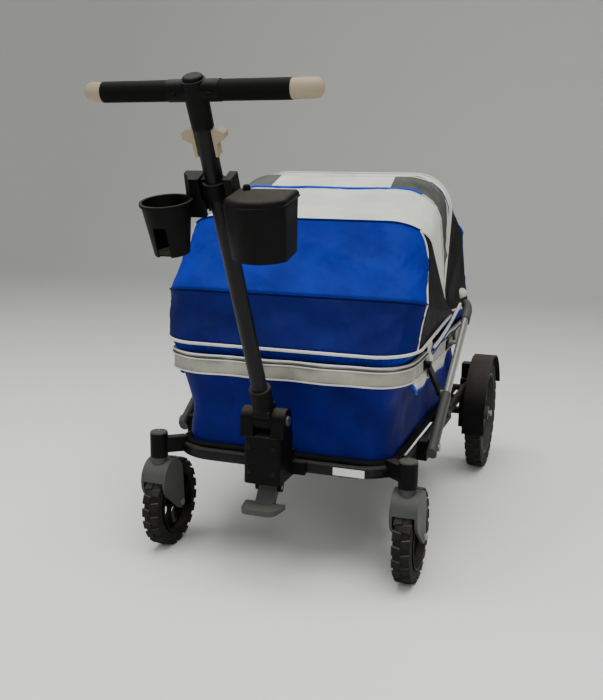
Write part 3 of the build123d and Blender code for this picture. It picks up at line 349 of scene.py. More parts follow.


# %% [markdown]
# Cloth is the cart's main surface. Its colour moves slowly from place to place between a
# lighter and a darker tone, partly uneven dye and partly painted shade that stands in for the
# shadows of folds. Its threads make a small relief, and on the pale cloths a soft sheen lifts
# it at grazing angles. A slower bump gives the crumple left by folding.


# %% Cloth finishes
def cloth_finish(name, tone, deep, rough=0.72, threads=2 * pi / 0.0024, relief=0.0004,
                 crumple=0.004, sheen=0.0, open_weave=False):
    """Woven cloth on its UV map in metres. An open weave shows darker gaps, as mesh does."""
    m = bpy.data.materials.new(name)
    m.use_nodes = True
    t = m.node_tree
    shader = t.nodes["Principled BSDF"]
    shader.inputs["Sheen Weight"].default_value = sheen
    shader.inputs["Specular IOR Level"].default_value = 0.12
    shader.inputs["Sheen Roughness"].default_value = 0.5
    uv = add_node(t, "ShaderNodeUVMap", uv_map="cloth").outputs["UV"]
    spot = add_node(t, "ShaderNodeTexCoord").outputs["Object"]
    mottle = add_node(t, "ShaderNodeGroup", {"Vector": spot, "Scale": 7.0},
                      node_tree=mottle_group)
    weave = add_node(t, "ShaderNodeGroup", {"Vector": uv, "Threads": threads},
                     node_tree=weave_group)
    # the darker tone in the mottled patches is partly uneven dye and partly painted fold shade
    dyed_and_shaded = mix_colour(t, mottle.outputs["Mask"], srgb(*tone), srgb(*deep))
    if open_weave:
        dyed_and_shaded = mix_colour(t, weave.outputs["Gap"], dyed_and_shaded, srgb(8, 8, 9))
    t.links.new(dyed_and_shaded, shader.inputs["Base Color"])
    dull = add_node(t, "ShaderNodeMapRange",
                    {"Value": mottle.outputs["Mask"], "To Min": rough - 0.05,
                     "To Max": rough + 0.08})
    t.links.new(dull.outputs["Result"], shader.inputs["Roughness"])
    folds = add_node(t, "ShaderNodeTexNoise",
                     {"Vector": spot, "Scale": 12.0, "Detail": 2.5, "Distortion": 0.5})
    slow_bump = add_node(t, "ShaderNodeBump", {"Height": folds.outputs["Fac"],
                                               "Strength": 0.6, "Distance": crumple})
    bump = add_node(t, "ShaderNodeBump", {"Height": weave.outputs["Height"],
                                          "Strength": 0.35, "Distance": relief,
                                          "Normal": slow_bump.outputs["Normal"]})
    t.links.new(bump.outputs["Normal"], shader.inputs["Normal"])
    return m


pale_sheen = 0.15
bright_blue = cloth_finish("bright_blue_cloth", (0, 38, 152), (0, 22, 112), rough=0.6,
                           crumple=0.010)
# The front lower flap takes a darker copy of the canopy blue as painted shade; on the roof's
# narrow middle strip the same dark blue is the cloth's own colour.
dark_strip_and_shaded_flap_blue = cloth_finish("dark_blue_and_painted_shade_cloth", (0, 14, 94), (0, 8, 66), rough=0.6, crumple=0.012)
# The basket's blue is a darker copy of the canopy blue, as painted shade for the bag that hangs
# low under the band.
shaded_basket_blue = cloth_finish("painted_shade_basket_cloth", (0, 11, 113), (0, 6, 80), rough=0.6,
                           crumple=0.012)
light_grey = cloth_finish("light_grey_cloth", (206, 207, 198), (178, 178, 168),
                          crumple=0.007, sheen=pale_sheen)
mottled_grey = cloth_finish("mottled_grey_cloth", (96, 98, 94), (50, 52, 50), crumple=0.014)
lining_grey = cloth_finish("lining_grey_cloth", (24, 24, 26), (16, 16, 18), crumple=0.008)
mesh_black = cloth_finish("mesh_cloth", (14, 13, 12), (8, 8, 7), threads=2 * pi / 0.003,
                          relief=0.0006, open_weave=True)
band_grey = cloth_finish("band_cloth", (164, 165, 152), (118, 117, 106), crumple=0.010,
                         sheen=pale_sheen)
piping_grey = cloth_finish("grey_piping", (206, 205, 196), (180, 178, 168), crumple=0.0005,
                           sheen=pale_sheen)
piping_blue = cloth_finish("blue_piping", (10, 70, 200), (6, 50, 170), crumple=0.0005,
                           sheen=pale_sheen)
pad_cloth = cloth_finish("pad_cloth", (60, 62, 64), (44, 46, 48), sheen=pale_sheen)
finish.update({"pad_fabric": pad_cloth, "basket_fabric": shaded_basket_blue, "band_fabric": band_grey,
               "canopy_fabric": bright_blue, "pocket_fabric": light_grey})

# %% Dress the solids
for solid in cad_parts.values():
    for place in solid.material_slots:
        place.material = finish[place.material.name.split(".")[0]]
studio = hard_finish("studio_sheet", (236, 236, 234), (232, 232, 230), 0.9, wear=0.0)
floor.data.materials.append(studio)
print("dressed", len(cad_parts), "solids")

# %% [markdown]
# ## The canopy
# Five hoops fan out from one pivot on each side of the rim, and the cloth is stretched from
# the front hem over them to the rear hem. Each hoop is an upside-down U: a straight leg, a
# rounded corner and a flat top. The two hems have the same form and stay on the rim.
# A panel could be draped by a simulation, but stretched cloth is nearly the straight surface
# between two hoops, so each panel is a grid laid from hoop to hoop, let in a little between
# them, with creases that run from the corners. A panel whose hoops one body carries hangs on
# that body; a panel between two bodies keeps the place it is laid in.

# %% The fan of hoops
pivot_y, pivot_z = 0.117, 0.520
# angle up from the front, reach, half width, corner radius: the front hem, five hoops and
# the rear hem
hoops = [(-4.0, 0.456, 0.282, 0.090), (10.6, 0.421, 0.293, 0.074), (35.5, 0.396, 0.274, 0.082),
         (80.0, 0.326, 0.263, 0.095), (100.0, 0.332, 0.258, 0.092),
         (142.0, 0.342, 0.262, 0.080), (184.0, 0.372, 0.272, 0.085)]
hoop_start = 0.012          # the cloth stops just short of the pivot
leg_end = 2.96              # how far round a hoop the cloth reaches
cloth_sag = 0.005           # how far it draws in between two hoops


def hoop_point(hoop, s):
    """A point on a hoop: s is 0 at its middle, 1 where its corner starts, 2 where its leg
    starts and 3 at the pivot, and negative on the cart's left."""
    angle, reach, half, corner = hoop
    a, side = abs(s), (1 if s >= 0 else -1)
    if a <= 1:
        x, r = a * (half - corner), reach
    elif a <= 2:
        bend_angle = (a - 1) * pi / 2
        x = half - corner + corner * sin(bend_angle)
        r = reach - corner + corner * cos(bend_angle)
    else:
        x = half - 0.004 * (a - 2)
        r = (reach - corner) * (3 - a) + hoop_start * (a - 2)
    t = radians(angle)
    return Vector((side * x, pivot_y - r * cos(t), pivot_z + r * sin(t)))


def between_hoops(angle):
    """The two hoops on either side of an angle, and how far along it is."""
    for first, second in zip(hoops, hoops[1:]):
        if first[0] <= angle <= second[0] + 1e-6:
            return first, second, (angle - first[0]) / (second[0] - first[0])
    raise ValueError(angle)


def crease(s, t, seed):
    """Creases across a stretched panel: slow waves, and sharp slanting folds that come and go
    towards the corners."""
    slow = (0.50 * sin(3.1 * s + 4.0 * t + seed) * sin(2.3 * t + 1.7 * s + 2.1 * seed)
            + 0.30 * sin(7.3 * s - 5.0 * t + 1.3 * seed))
    slant = 1 - abs(sin(4.1 * s + 3.2 * t + 1.7 * sin(2.0 * t + seed) + seed))
    cross = 1 - abs(sin(6.3 * s - 4.6 * t + 2.2 * seed))
    corner_pull = 0.35 + 0.65 * min(1.0, abs(s) / 1.4) ** 2
    return slow + corner_pull * (0.9 * slant ** 5 + 0.7 * cross ** 6)


def cloth_point(angle, s, rumple=0.0022, lift=0.0, seed=1.0):
    """A point on the stretched cloth, lifted off it by lift."""
    first, second, t = between_hoops(angle)
    a, b = hoop_point(first, s), hoop_point(second, s)
    p = a.lerp(b, t)
    out = Vector((p.x * 0.9, p.y - pivot_y, p.z - pivot_z))
    if abs(s) > 1.9:
        out = Vector((p.x, 0.25 * (p.y - pivot_y), 0.25 * (p.z - pivot_z)))
    out.normalize()
    free = sin(pi * t) ** 0.8 if 0 < t < 1 else 0.0
    near_pivot = min(1.0, max(0.0, (3 - abs(s)) * 1.6))
    depth = -cloth_sag * free + rumple * free * crease(s, t + angle * 0.02, seed)
    return p + out * (depth * near_pivot + lift)


def cloth_grid(name, rows, columns, place, material, thick=0.0016, closed=False):
    """A sheet from a primitive grid: row r and column c go to place(r / rows, c / columns).
    Its UV map is the distance along the sheet in metres."""
    start_clean()
    bpy.ops.mesh.primitive_grid_add(x_subdivisions=columns, y_subdivisions=rows, size=1)
    piece = bpy.context.object
    mesh = piece.data
    spots = [place(v.co.y + 0.5, v.co.x + 0.5) for v in mesh.vertices]
    stride = columns + 1
    run = [[0.0, 0.0] for spot in spots]
    for k, spot in enumerate(spots):
        if k % stride:
            run[k][0] = run[k - 1][0] + (spot - spots[k - 1]).length
        if k >= stride:
            run[k][1] = run[k - stride][1] + (spot - spots[k - stride]).length
    uv_layer = mesh.uv_layers[0]
    uv_layer.name = "cloth"
    for loop in mesh.loops:
        uv_layer.data[loop.index].uv = run[loop.vertex_index]
    for v, spot in zip(mesh.vertices, spots):
        v.co = spot
    mesh.update()
    only(piece)
    if closed:
        clean(piece, merge=0.0001, turn_out=False)
    if thick:
        body = piece.modifiers.new("thickness", "SOLIDIFY")
        body.thickness, body.offset = thick, 0.0
        apply_all(piece)
    bpy.ops.object.shade_smooth()
    piece.data.materials.append(material)
    area = sum(p.area for p in piece.data.polygons) / (2 if thick else 1)
    piece.name = mesh.name = name
    piece["flat_area"] = area
    piece["flat_size"] = [max(v[0] for v in run), max(v[1] for v in run)]
    return piece


def declare_cloth(piece):
    """Print the size a sheet piece is cut to, and its area."""
    wide, long = (piece["flat_size"][0] * 1.002, piece["flat_size"][1] * 1.002)
    area = max(0.3 * wide * long, min(piece["flat_area"], wide * long))
    print(piece.name, "cut to", round(wide, 3), "x", round(long, 3), "area", round(area, 4))


def tube_along(name, points, radius, material, sides=8, closed=False):
    """Piping: a round tube along points, with its UV map in metres."""
    start_clean()
    n = len(points)
    frames = []
    for k, p in enumerate(points):
        before = points[(k - 1) % n] if (k or closed) else p
        after = points[(k + 1) % n] if (k < n - 1 or closed) else p
        along = (after - before).normalized()
        side = along.cross(Vector((0.31, 0.22, 0.92))).normalized()
        if frames and side.dot(frames[-1][1]) < 0:
            side = -side
        frames.append((p, side, along.cross(side)))
    verts, faces, uvs = [], [], []
    for p, side, other in frames:
        for j in range(sides):
            a = 2 * pi * j / sides
            verts.append(p + radius * (cos(a) * side + sin(a) * other))
    rings = n if closed else n - 1
    for k in range(rings):
        for j in range(sides):
            a, b = k * sides + j, k * sides + (j + 1) % sides
            c, d = ((k + 1) % n) * sides + (j + 1) % sides, ((k + 1) % n) * sides + j
            faces.append((a, b, c, d))
    if not closed:
        faces.append(tuple(reversed(range(sides))))
        faces.append(tuple(range((n - 1) * sides, n * sides)))
    mesh = bpy.data.meshes.new(name)
    mesh.from_pydata(verts, [], faces)
    layer = mesh.uv_layers.new(name="cloth")
    for loop in mesh.loops:
        co = mesh.vertices[loop.vertex_index].co
        layer.data[loop.index].uv = (loop.vertex_index // sides * 0.006,
                                     loop.vertex_index % sides * radius)
    piece = in_scene(name, mesh)
    clean(piece)
    bpy.ops.object.shade_smooth()
    mesh.materials.append(material)
    return piece


# %% [markdown]
# ### Panels and what carries them
# Front: the lower flap runs from the hem to the seam hoop, the upper flap from the seam hoop
# to the middle hoop, and a light panel from there to the top hoop. The blue flaps end in a
# rounded edge on the cart's sides, where dark netting and grey lining show behind them. The
# rear is nearly the same in mirror image. A flap lies 2.4 mm above the netting it covers.

# %% Canopy panels
# from one angle to the next: one body, or two with the hoops that they carry
carriers = [(-4.0, 10.6, "rim", "seam_bow", 0, 1), (10.6, 35.5, "seam_bow", "mid_bow", 1, 2),
            (35.5, 80.0, "mid_bow", "top_bow", 2, 3), (80.0, 90.0, "top_bow", None, 3, 3),
            (90.0, 100.0, "rear_top_bow", None, 4, 4),
            (100.0, 142.0, "rear_mid_bow", "rear_top_bow", 5, 4),
            (142.0, 184.0, "rim", "rear_mid_bow", 6, 5)]
canopy_area = {"front": 0.0, "rear": 0.0}


def carry(piece, low, high):
    """Hang a canopy piece on the body that carries the hoops on both sides of it; a piece
    between two bodies only has its place put into its mesh.
    """
    middle = (low + high) / 2
    for first, last, a, b, a_hoop, b_hoop in carriers:
        if first <= middle <= last:
            ends = [hoop_point(hoops[k], 0.0) for k in (a_hoop, b_hoop)]
            if b is None:
                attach(piece, a)
            else:
                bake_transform(piece)
            return
    raise ValueError(middle)


def drawn_in(r, rounding):
    """How far a flap's side edge draws in near its far edge, as a share of its width."""
    return 1 - rounding * max(0.0, (r - 0.55) / 0.45) ** 3


def panel(name, low, high, s_low, s_high, material, lift=0.0, rows=10, columns=120,
          rumple=0.0022, seed=1.0, rounding=0.0):
    """A canopy panel between two angles and two places round the hoop. With rounding, its
    two side edges curve in towards the higher angle, as a flap's do."""
    def place(r, c):
        s = (s_low + (s_high - s_low) * c) * drawn_in(r, rounding)
        return cloth_point(low + (high - low) * r, s, lift=lift, rumple=rumple, seed=seed)
    piece = cloth_grid(name, rows, columns, place, material)
    half = "front" if high <= 90 else "rear"
    canopy_area[half] += piece["flat_area"]
    carry(piece, low, high)
    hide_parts(half + "_canopy_cloth")
    declare_cloth(piece)
    return piece


def piping_at(name, angle, s_low, s_high, low, high, material, radius=0.0018, lift=0.0018,
              count=150):
    """Piping along one angle, carried as the panel from low to high is."""
    points = [cloth_point(angle, s_low + (s_high - s_low) * k / count, lift=lift)
              for k in range(count + 1)]
    piece = tube_along(name, points, radius, material)
    carry(piece, low, high)
    return piece


# places round a hoop, in its own measure
edge = 1.82                 # the flaps' side edges
inner = 1.5                 # where netting and lining start, under the flaps
crown_edge = 0.85           # the pale crown's side edges
flap_rounding = 0.14        # how much the upper flap's side edges draw in
sides = (("left", -1), ("right", 1))


def side_panels(name, low, high, material, rows, seed, start=inner, rumple=0.0022):
    """The same panel on the cart's left and right, from under the flap to the pivot."""
    for side_name, s_low, s_high in (("_left", -leg_end, -start), ("_right", start, leg_end)):
        panel(name + side_name, low, high, s_low, s_high, material, rows=rows, columns=44,
              seed=seed, rumple=rumple)


side_panels("front_lower_lining", -4, 10.6, lining_grey, 8, 0.4)
side_panels("front_netting", 10.6, 35.5, mesh_black, 12, 1.1)
# painted shade: the front lower flap is the canopy blue made darker
panel("front_lower_flap", -4, 10.6, -edge, edge, dark_strip_and_shaded_flap_blue, lift=0.0024, rows=12, columns=150,
      rumple=0.0052, seed=2.3)
panel("front_upper_flap", 10.6, 35.5, -edge, edge, bright_blue, lift=0.0024, rows=20,
      columns=150, rumple=0.0050, seed=4.1, rounding=flap_rounding)
light_back = 68             # where the light panel ends on the roof
panel("front_roof_light", 35.5, light_back, -leg_end, leg_end, light_grey, rows=14,
      seed=5.2, rumple=0.003)
side_panels("front_roof_dark", light_back, 80, mottled_grey, 10, 6.0, start=crown_edge,
            rumple=0.005)
side_panels("roof_middle_dark", 80, 90, mottled_grey, 8, 6.4, start=crown_edge,
            rumple=0.005)
panel("front_roof_crown", light_back, 80, -crown_edge, crown_edge, light_grey, rows=8,
      columns=60, seed=6.1)
panel("roof_middle_crown", 80, 90, -crown_edge, crown_edge, light_grey, rows=6,
      columns=60, seed=6.2)
panel("roof_middle_blue", 90, 95, -leg_end, leg_end, dark_strip_and_shaded_flap_blue, rows=3, seed=6.7)
panel("roof_middle_edge", 95, 100, -leg_end, leg_end, light_grey, rows=3, seed=6.8)
side_panels("rear_netting", 100, 142, mesh_black, 14, 7.2)
panel("rear_upper_flap", 100, 142, -1.7, 1.7, bright_blue, lift=0.0024, rows=18, columns=150,
      rumple=0.003, seed=8.1)
side_panels("rear_lower_lining", 142, 184, lining_grey, 14, 9.0)
panel("rear_lower_flap", 142, 184, -edge, edge, bright_blue, lift=0.0024, rows=18, columns=150,
      rumple=0.003, seed=9.7)

# %% Canopy piping
piping_at("hem_piping_front", -4, -leg_end, leg_end, -4, 10.6, piping_grey, lift=0.004,
          radius=0.0034)
seam_blue = cloth_finish("seam_blue", (0, 24, 104), (0, 16, 78), crumple=0.0005)
piping_at("seam_piping", 10.6, -edge, edge, 10.6, 35.5, seam_blue, lift=0.004)
piping_at("flap_top_piping", 35.4, -1.58, 1.58, 10.6, 35.5, seam_blue, lift=0.004)
piping_at("light_panel_piping", light_back, -1.35, 1.35, 35.5, light_back, piping_blue,
          lift=0.002, radius=0.0032)
piping_at("light_panel_side_left", light_back, -2.9, -1.35, 35.5, light_back, piping_grey)
piping_at("light_panel_side_right", light_back, 1.35, 2.9, 35.5, light_back, piping_grey)
piping_at("roof_light_piping", 90, -2.9, 2.9, 80, 90, piping_grey, lift=0.002)
piping_at("roof_edge_piping", 100, -2.9, 2.9, 90, 100, piping_grey, lift=0.002, radius=0.0022)
piping_at("rear_seam_piping", 142, -edge, edge, 142, 184, piping_blue, lift=0.004)
piping_at("hem_piping_rear", 184, -leg_end, leg_end, 142, 184, piping_grey, lift=0.004,
          radius=0.0034)


def flap_edge(name, low, high, sign, rounding):
    """Piping down the side edge of a flap, where it follows the flap's rounding."""
    points = []
    for k in range(41):
        r = k / 40
        points.append(cloth_point(low + (high - low) * r, sign * edge * drawn_in(r, rounding),
                                  lift=0.0035))
    piece = tube_along(name, points, 0.0022, piping_grey)
    carry(piece, low, high)


for side_name, side_sign in sides:
    flap_edge("upper_flap_edge_" + side_name, 10.6, 35.4, side_sign, flap_rounding)
    flap_edge("lower_flap_edge_" + side_name, -3.9, 10.6, side_sign, 0.0)
print("canopy cloth", {k: round(v, 3) for k, v in canopy_area.items()})

# %% [markdown]
# ## Skirt, band and basket
# Under the hem a loose blue skirt drops to the padded band that wraps the rim. It is cut
# longer than the rim, so it gathers in small upright folds. The band is a foam strip in a
# light-grey cover with a zip along its top edge: it is a closed ring with a full outer face.


# %% Rounded rings
def ring_point(half, front, rear, corner, u):
    """A point and the outward direction on a rounded rectangle; u runs from 0 to 1 round it,
    from the middle of the front by the cart's right."""
    straight = [half - corner, rear - front - 2 * corner, 2 * (half - corner),
                rear - front - 2 * corner, half - corner]
    arc = corner * pi / 2
    total = sum(straight) + 4 * arc
    d = (u % 1.0) * total
    x, y, heading = 0.0, front, 0.0
    for k, run in enumerate(straight):
        if d <= run or k == 4:
            d = min(d, run)
            x, y = x + d * cos(heading), y + d * sin(heading)
            return Vector((x, y, 0)), Vector((sin(heading), -cos(heading), 0))
        d -= run
        x, y = x + run * cos(heading), y + run * sin(heading)
        centre = Vector((x - corner * sin(heading), y + corner * cos(heading), 0))
        if d <= arc:
            a = heading + d / corner
            out = Vector((sin(a), -cos(a), 0))
            return centre + corner * out, out
        d -= arc
        heading += pi / 2
        x = centre.x + corner * sin(heading)
        y = centre.y - corner * cos(heading)
    raise ValueError(u)


# %% Skirt
skirt_foot_z = 0.464
skirt_foot_half = 0.258
rim_front, rim_rear = -0.343, 0.500


def skirt(name, hoop, seed):
    """The gathered strip from the canopy's hem down inside the band, for one half."""
    def place(r, c):
        s = -leg_end + 2 * leg_end * c
        top = hoop_point(hoop, s)
        foot = Vector((top.x * skirt_foot_half / hoop[2], top.y, skirt_foot_z))
        if abs(s) <= 2:
            limit = rim_front + 0.014 if hoop[0] < 90 else rim_rear - 0.014
            mix = 1 - max(0.0, abs(s) - 1)
            foot.y = top.y + (limit - top.y) * mix
        p = top.lerp(foot, r)
        out = Vector((top.x * 0.6, (top.y - pivot_y) if abs(s) < 2.2 else 0, 0))
        out.normalize()
        fold = sin(64 * s + 3 * sin(5 * s + seed)) + 0.6 * sin(29 * s + 2.0 * r + seed)
        return p + out * (0.0022 * fold * sin(pi * min(1, r * 1.15 + 0.08)) - 0.004 * r)
    piece = cloth_grid(name, 8, 300, place, bright_blue, thick=0.0014)
    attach(piece, "rim")
    declare_cloth(piece)
    return piece


skirt("front_skirt", hoops[0], 0.7)
skirt("rear_skirt", hoops[-1], 1.9)


# %% Padded band
def band_ring(c):
    """The middle line of the band's seat round the rim."""
    return ring_point(0.265, rim_front + 0.003, rim_rear - 0.003, 0.088, c)


def band_place(r, c):
    """The band's skin: r goes round its section and c round the rim."""
    p, out = band_ring(c)
    a = 2 * pi * r
    full = 1 + 0.10 * sin(31 * c * 2 * pi) * sin(7 * c * 2 * pi)
    thick = 0.0072 * (full if cos(a) > 0 else 0.6)
    across = thick * (abs(cos(a)) ** 0.75) * (1 if cos(a) > 0 else -1)
    up = 0.0215 * (abs(sin(a)) ** 0.62) * (1 if sin(a) > 0 else -1)
    slack = 0.0012 * sin(23 * 2 * pi * c + 1.4 * sin(a)) + 0.0008 * sin(51 * 2 * pi * c + 2)
    return p + out * (across + (slack if cos(a) > 0 else 0)) + Vector((0, 0, 0.445 + up))


band = cloth_grid("padded_band", 28, 420, band_place, band_grey, thick=0, closed=True)
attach(band, "rim")
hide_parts("rim_band")


def band_line(name, offset, z, radius, material):
    """A cord of piping round the band."""
    points = []
    for k in range(420):
        c = k / 420
        p, out = band_ring(c)
        points.append(p + out * offset + Vector((0, 0, z + 0.0008 * sin(19 * 2 * pi * c))))
    piece = tube_along(name, points, radius, material, closed=True)
    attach(piece, "rim")


zip_dark = hard_finish("zip_tape", (46, 47, 48), (80, 80, 80), 0.6)
band_line("band_top_piping", 0.0066, 0.4655, 0.0022, piping_grey)
band_line("band_zip", 0.0078, 0.4600, 0.0014, zip_dark)
band_line("band_zip_piping", 0.0081, 0.4565, 0.0015, piping_grey)
band_line("band_foot_piping", 0.0066, 0.4255, 0.0018, piping_grey)

# %% [markdown]
# The basket is one deep bag of blue cloth that hangs from the rim and stands on the floor
# board. Its walls lean out at the top, bow in a little at mid height, and pull into slanting
# folds near the corners.


# %% Basket
def basket_place(r, c):
    """r goes from the bag's foot to its top edge, c round it."""
    lean = max(0.0, (r - 0.62) / 0.38)
    half = 0.2345 + 0.025 * lean ** 1.6
    front = -0.309 - 0.022 * lean ** 1.6
    rear = 0.488 + 0.006 * lean
    p, out = ring_point(half, front, rear, 0.055 + 0.02 * lean, c)
    z = 0.2548 + 0.178 * r
    wall = 2 * pi * c
    bow = -0.004 * sin(pi * r) + 0.0022 * sin(3 * wall + 5 * r)
    slant = (0.0034 * sin(13 * wall + 8 * r) * sin(2 * wall + 0.6) * sin(pi * r)
             + 0.0020 * sin(7 * wall - 11 * r + 1.2) * sin(pi * r)
             + 0.0012 * sin(31 * wall - 7 * r + 1.2) * r)
    tuck = -0.003 * (1 - min(1, r * 9))
    return p + out * (bow + slant + tuck) + Vector((0, 0, z))


# the bag's cloth is the canopy blue made darker as painted shade
basket = cloth_grid("basket_bag", 36, 400, basket_place, shaded_basket_blue, thick=0.0022,
                    closed=True)
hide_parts("basket_walls")
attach(basket, "chassis")
declare_cloth(basket)
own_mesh(basket)

foot_ring = []
for k in range(360):
    spot, out = ring_point(0.2405, -0.3135, 0.4935, 0.060, k / 360)
    foot_ring.append(spot + Vector((0, 0, 0.2562)))
binding_black = cloth_finish("black_binding", (16, 16, 17), (10, 10, 10), crumple=0.002)
foot_binding = tube_along("basket_foot_binding", foot_ring, 0.0078, binding_black, sides=10,
                          closed=True)
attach(foot_binding, "chassis")


# %% Floor pad
pad_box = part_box("floor_pad")


def pad_place(r, c):
    """From the middle of the underside, round the edge, to the middle of the top."""
    low, high = pad_box
    half, front, rear = high.x, low.y, high.y
    p, out = ring_point(half - 0.001, front + 0.001, rear - 0.001, 0.045, c)
    middle = Vector((0, (front + rear) / 2, 0))
    if r < 0.3:
        share, z = r / 0.3, low.z
    elif r < 0.45:
        share, z = 1.0, low.z + (high.z - low.z) * 0.7 * (r - 0.3) / 0.15
    else:
        share, z = 1 - (r - 0.45) / 0.55, 0.0
    q = middle.lerp(p, min(1.0, share * 0.999 + 0.001))
    if r >= 0.45:
        crown = (1 - share ** 6) * 0.3 + 0.7
        seam = min(1.0, abs(((q.y - front) * 5.0) % 1.0 - 0.5) * 9.0)
        z = low.z + (high.z - low.z) * min(1.0, crown) * (0.82 + 0.18 * seam)
    return Vector((q.x, q.y, z))


pad = cloth_grid("floor_cushion", 60, 220, pad_place, pad_cloth, thick=0, closed=True)
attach(pad, "chassis")
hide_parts("floor_pad")

# %% [markdown]
# ## Tyres
# Each tyre has a smooth carcass and two rows of stout tread blocks. A row is set half a step
# from the other, and each block narrows towards the middle of the tread and wraps a little
# over the shoulder. One block is shaped and copied round the wheel.


# %% Tyre with blocks
def tread_block(width, length, tall):
    """One block that lies along +X from the tyre's middle, with its top up +Z."""
    start_clean()
    bpy.ops.mesh.primitive_cube_add(size=1)
    block = bpy.context.object
    block.data.transform(Matrix.Diagonal((width, length, tall, 1)))
    bpy.ops.object.mode_set(mode="EDIT")
    bm = bmesh.from_edit_mesh(block.data)
    bm.select_mode = {"FACE"}
    for f in bm.faces:
        f.select = f.normal.z > 0.9
    bm.select_flush(True)
    bpy.ops.transform.resize(value=(0.9, 0.82, 1))
    bm = bmesh.from_edit_mesh(block.data)
    for v in bm.verts:
        if v.co.x < 0:
            v.co.y *= 0.66
        else:
            v.co.z -= tall * 0.24
    bmesh.update_edit_mesh(block.data)
    bpy.ops.mesh.select_all(action="SELECT")
    bpy.ops.mesh.bevel(offset=0.0008, segments=1)
    bpy.ops.object.mode_set(mode="OBJECT")
    return block


def make_tyre(name, node, body, rim_radius, blocks):
    """A carcass spun from its section, with two rows of blocks, in place of a CAD tyre."""
    low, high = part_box(node)
    centre = (low + high) / 2
    radius, width = (high.z - low.z) / 2, high.x - low.x
    tall = 0.0042
    base = radius - tall
    shoulder = width / 2 - 0.0007
    flank = [(0.86, rim_radius), (1, rim_radius + 0.006), (1, base - 0.010),
             (0.9, base - 0.004), (0.6, base)]
    section = ([(-shoulder * x, r) for x, r in flank] + [(0, base + 0.0006)]
               + [(shoulder * x, r) for x, r in reversed(flank)])
    mesh = bpy.data.meshes.new(name)
    mesh.from_pydata([(x, 0, r) for x, r in section], [], [])
    mesh.edges.add(len(section))
    for k, e in enumerate(mesh.edges):
        e.vertices = (k, (k + 1) % len(section))
    carcass = in_scene(name, mesh)
    only(carcass)
    bpy.ops.object.mode_set(mode="EDIT")
    bpy.ops.mesh.select_all(action="SELECT")
    bpy.ops.mesh.spin(steps=96, angle=2 * pi, center=(0, 0, 0), axis=(1, 0, 0))
    bpy.ops.object.mode_set(mode="OBJECT")
    clean(carcass, merge=0.0002)
    pitch_angle = 2 * pi / blocks
    block = tread_block(width * 0.50, base * pitch_angle * 0.76, tall * 1.25)
    row = [carcass]
    for k in range(blocks):
        for side in (-1, 1):
            turn_to = Matrix.Rotation((k + (0.5 if side > 0 else 0)) * pitch_angle, 4, "X")
            face = Matrix.Rotation(0 if side > 0 else pi, 4, "Z")
            out = Matrix.Translation((side * width * 0.243, 0, radius - tall * 0.63))
            row.append(copy_of(block, turn_to @ out @ face))
    bpy.data.objects.remove(block)
    tyre = join(row, name)
    bpy.ops.object.shade_smooth_by_angle(angle=radians(35))
    tyre.data.transform(Matrix.Translation(centre))
    tyre.data.materials.clear()
    tyre.data.materials.append(finish["tyre_rubber"])
    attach(tyre, body)
    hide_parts(node)


for side_name in ("left", "right"):
    make_tyre("castor_tread_" + side_name, "castor_tyre_" + side_name,
              "front_wheel_" + side_name, 0.072, 20)
    make_tyre("rear_tread_" + side_name, "rear_tyre_" + side_name,
              "rear_wheel_" + side_name, 0.118, 28)

# %% [markdown]
# ## Things that hang on the sides
# A shallow light-grey pocket hangs below the band on each side, with a blue binding on its
# lower edge. Above the band a blue strap with a grey edge slants up to the pivot, and a loose
# grey tab hangs from the hem over the band. They are small cloths, so they are grids with deep
# folds.


# %% Side pockets
def side_cloth(name, sign, y_low, y_high, shape, material, rows=14, columns=90):
    """A small cloth on one side: shape(r, c) gives its distance out, its height and its shift
    to the rear."""
    def place(r, c):
        y = y_low + (y_high - y_low) * c
        out, z, shift = shape(r, c)
        return Vector((sign * out, y + shift, z))
    piece = cloth_grid(name, rows, columns, place, material, thick=0.0014)
    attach(piece, "rim")
    return piece


def pocket_shape(r, c):
    """r is 0 at the bound lower edge and 1 at the band."""
    droop = 0.008 * sin(pi * c) + 0.004 * sin(9 * c + 1.0)
    z = 0.4285 - (1 - r) * (0.028 + droop) * (0.25 + 0.75 * min(1.0, 5 * sin(pi * c)))
    ripple = 0.0040 * sin(21 * c + 2.4 * sin(3 * c)) + 0.0014 * sin(37 * c + 3 * r)
    return 0.2680 + ripple * (1 - r * 0.8) + 0.004 * sin(pi * r), z, 0.0


pocket_front, pocket_rear = -0.255, 0.098
strap_low, strap_high = (-0.10, 0.462), (0.225, 0.516)      # y and z of its two ends


def strap_shape(r, c):
    """A narrow slanting strap: r across it and c along it."""
    z = strap_low[1] + (strap_high[1] - strap_low[1]) * (c ** 1.1)
    return 0.2795 + 0.003 * sin(pi * c) - 0.0015 * cos(pi * r), z + 0.016 * (r - 0.5), 0.0


def tab_shape(r, c):
    """A loose tab from the hem down over the band."""
    z = 0.404 + 0.096 * r
    fold = 0.0012 * sin(11 * c + 5 * r) + 0.0007 * sin(17 * r)
    return 0.2742 + fold - 0.003 * (1 - r) ** 3, z, 0.012 * sin(5 * r) - 0.012 * r


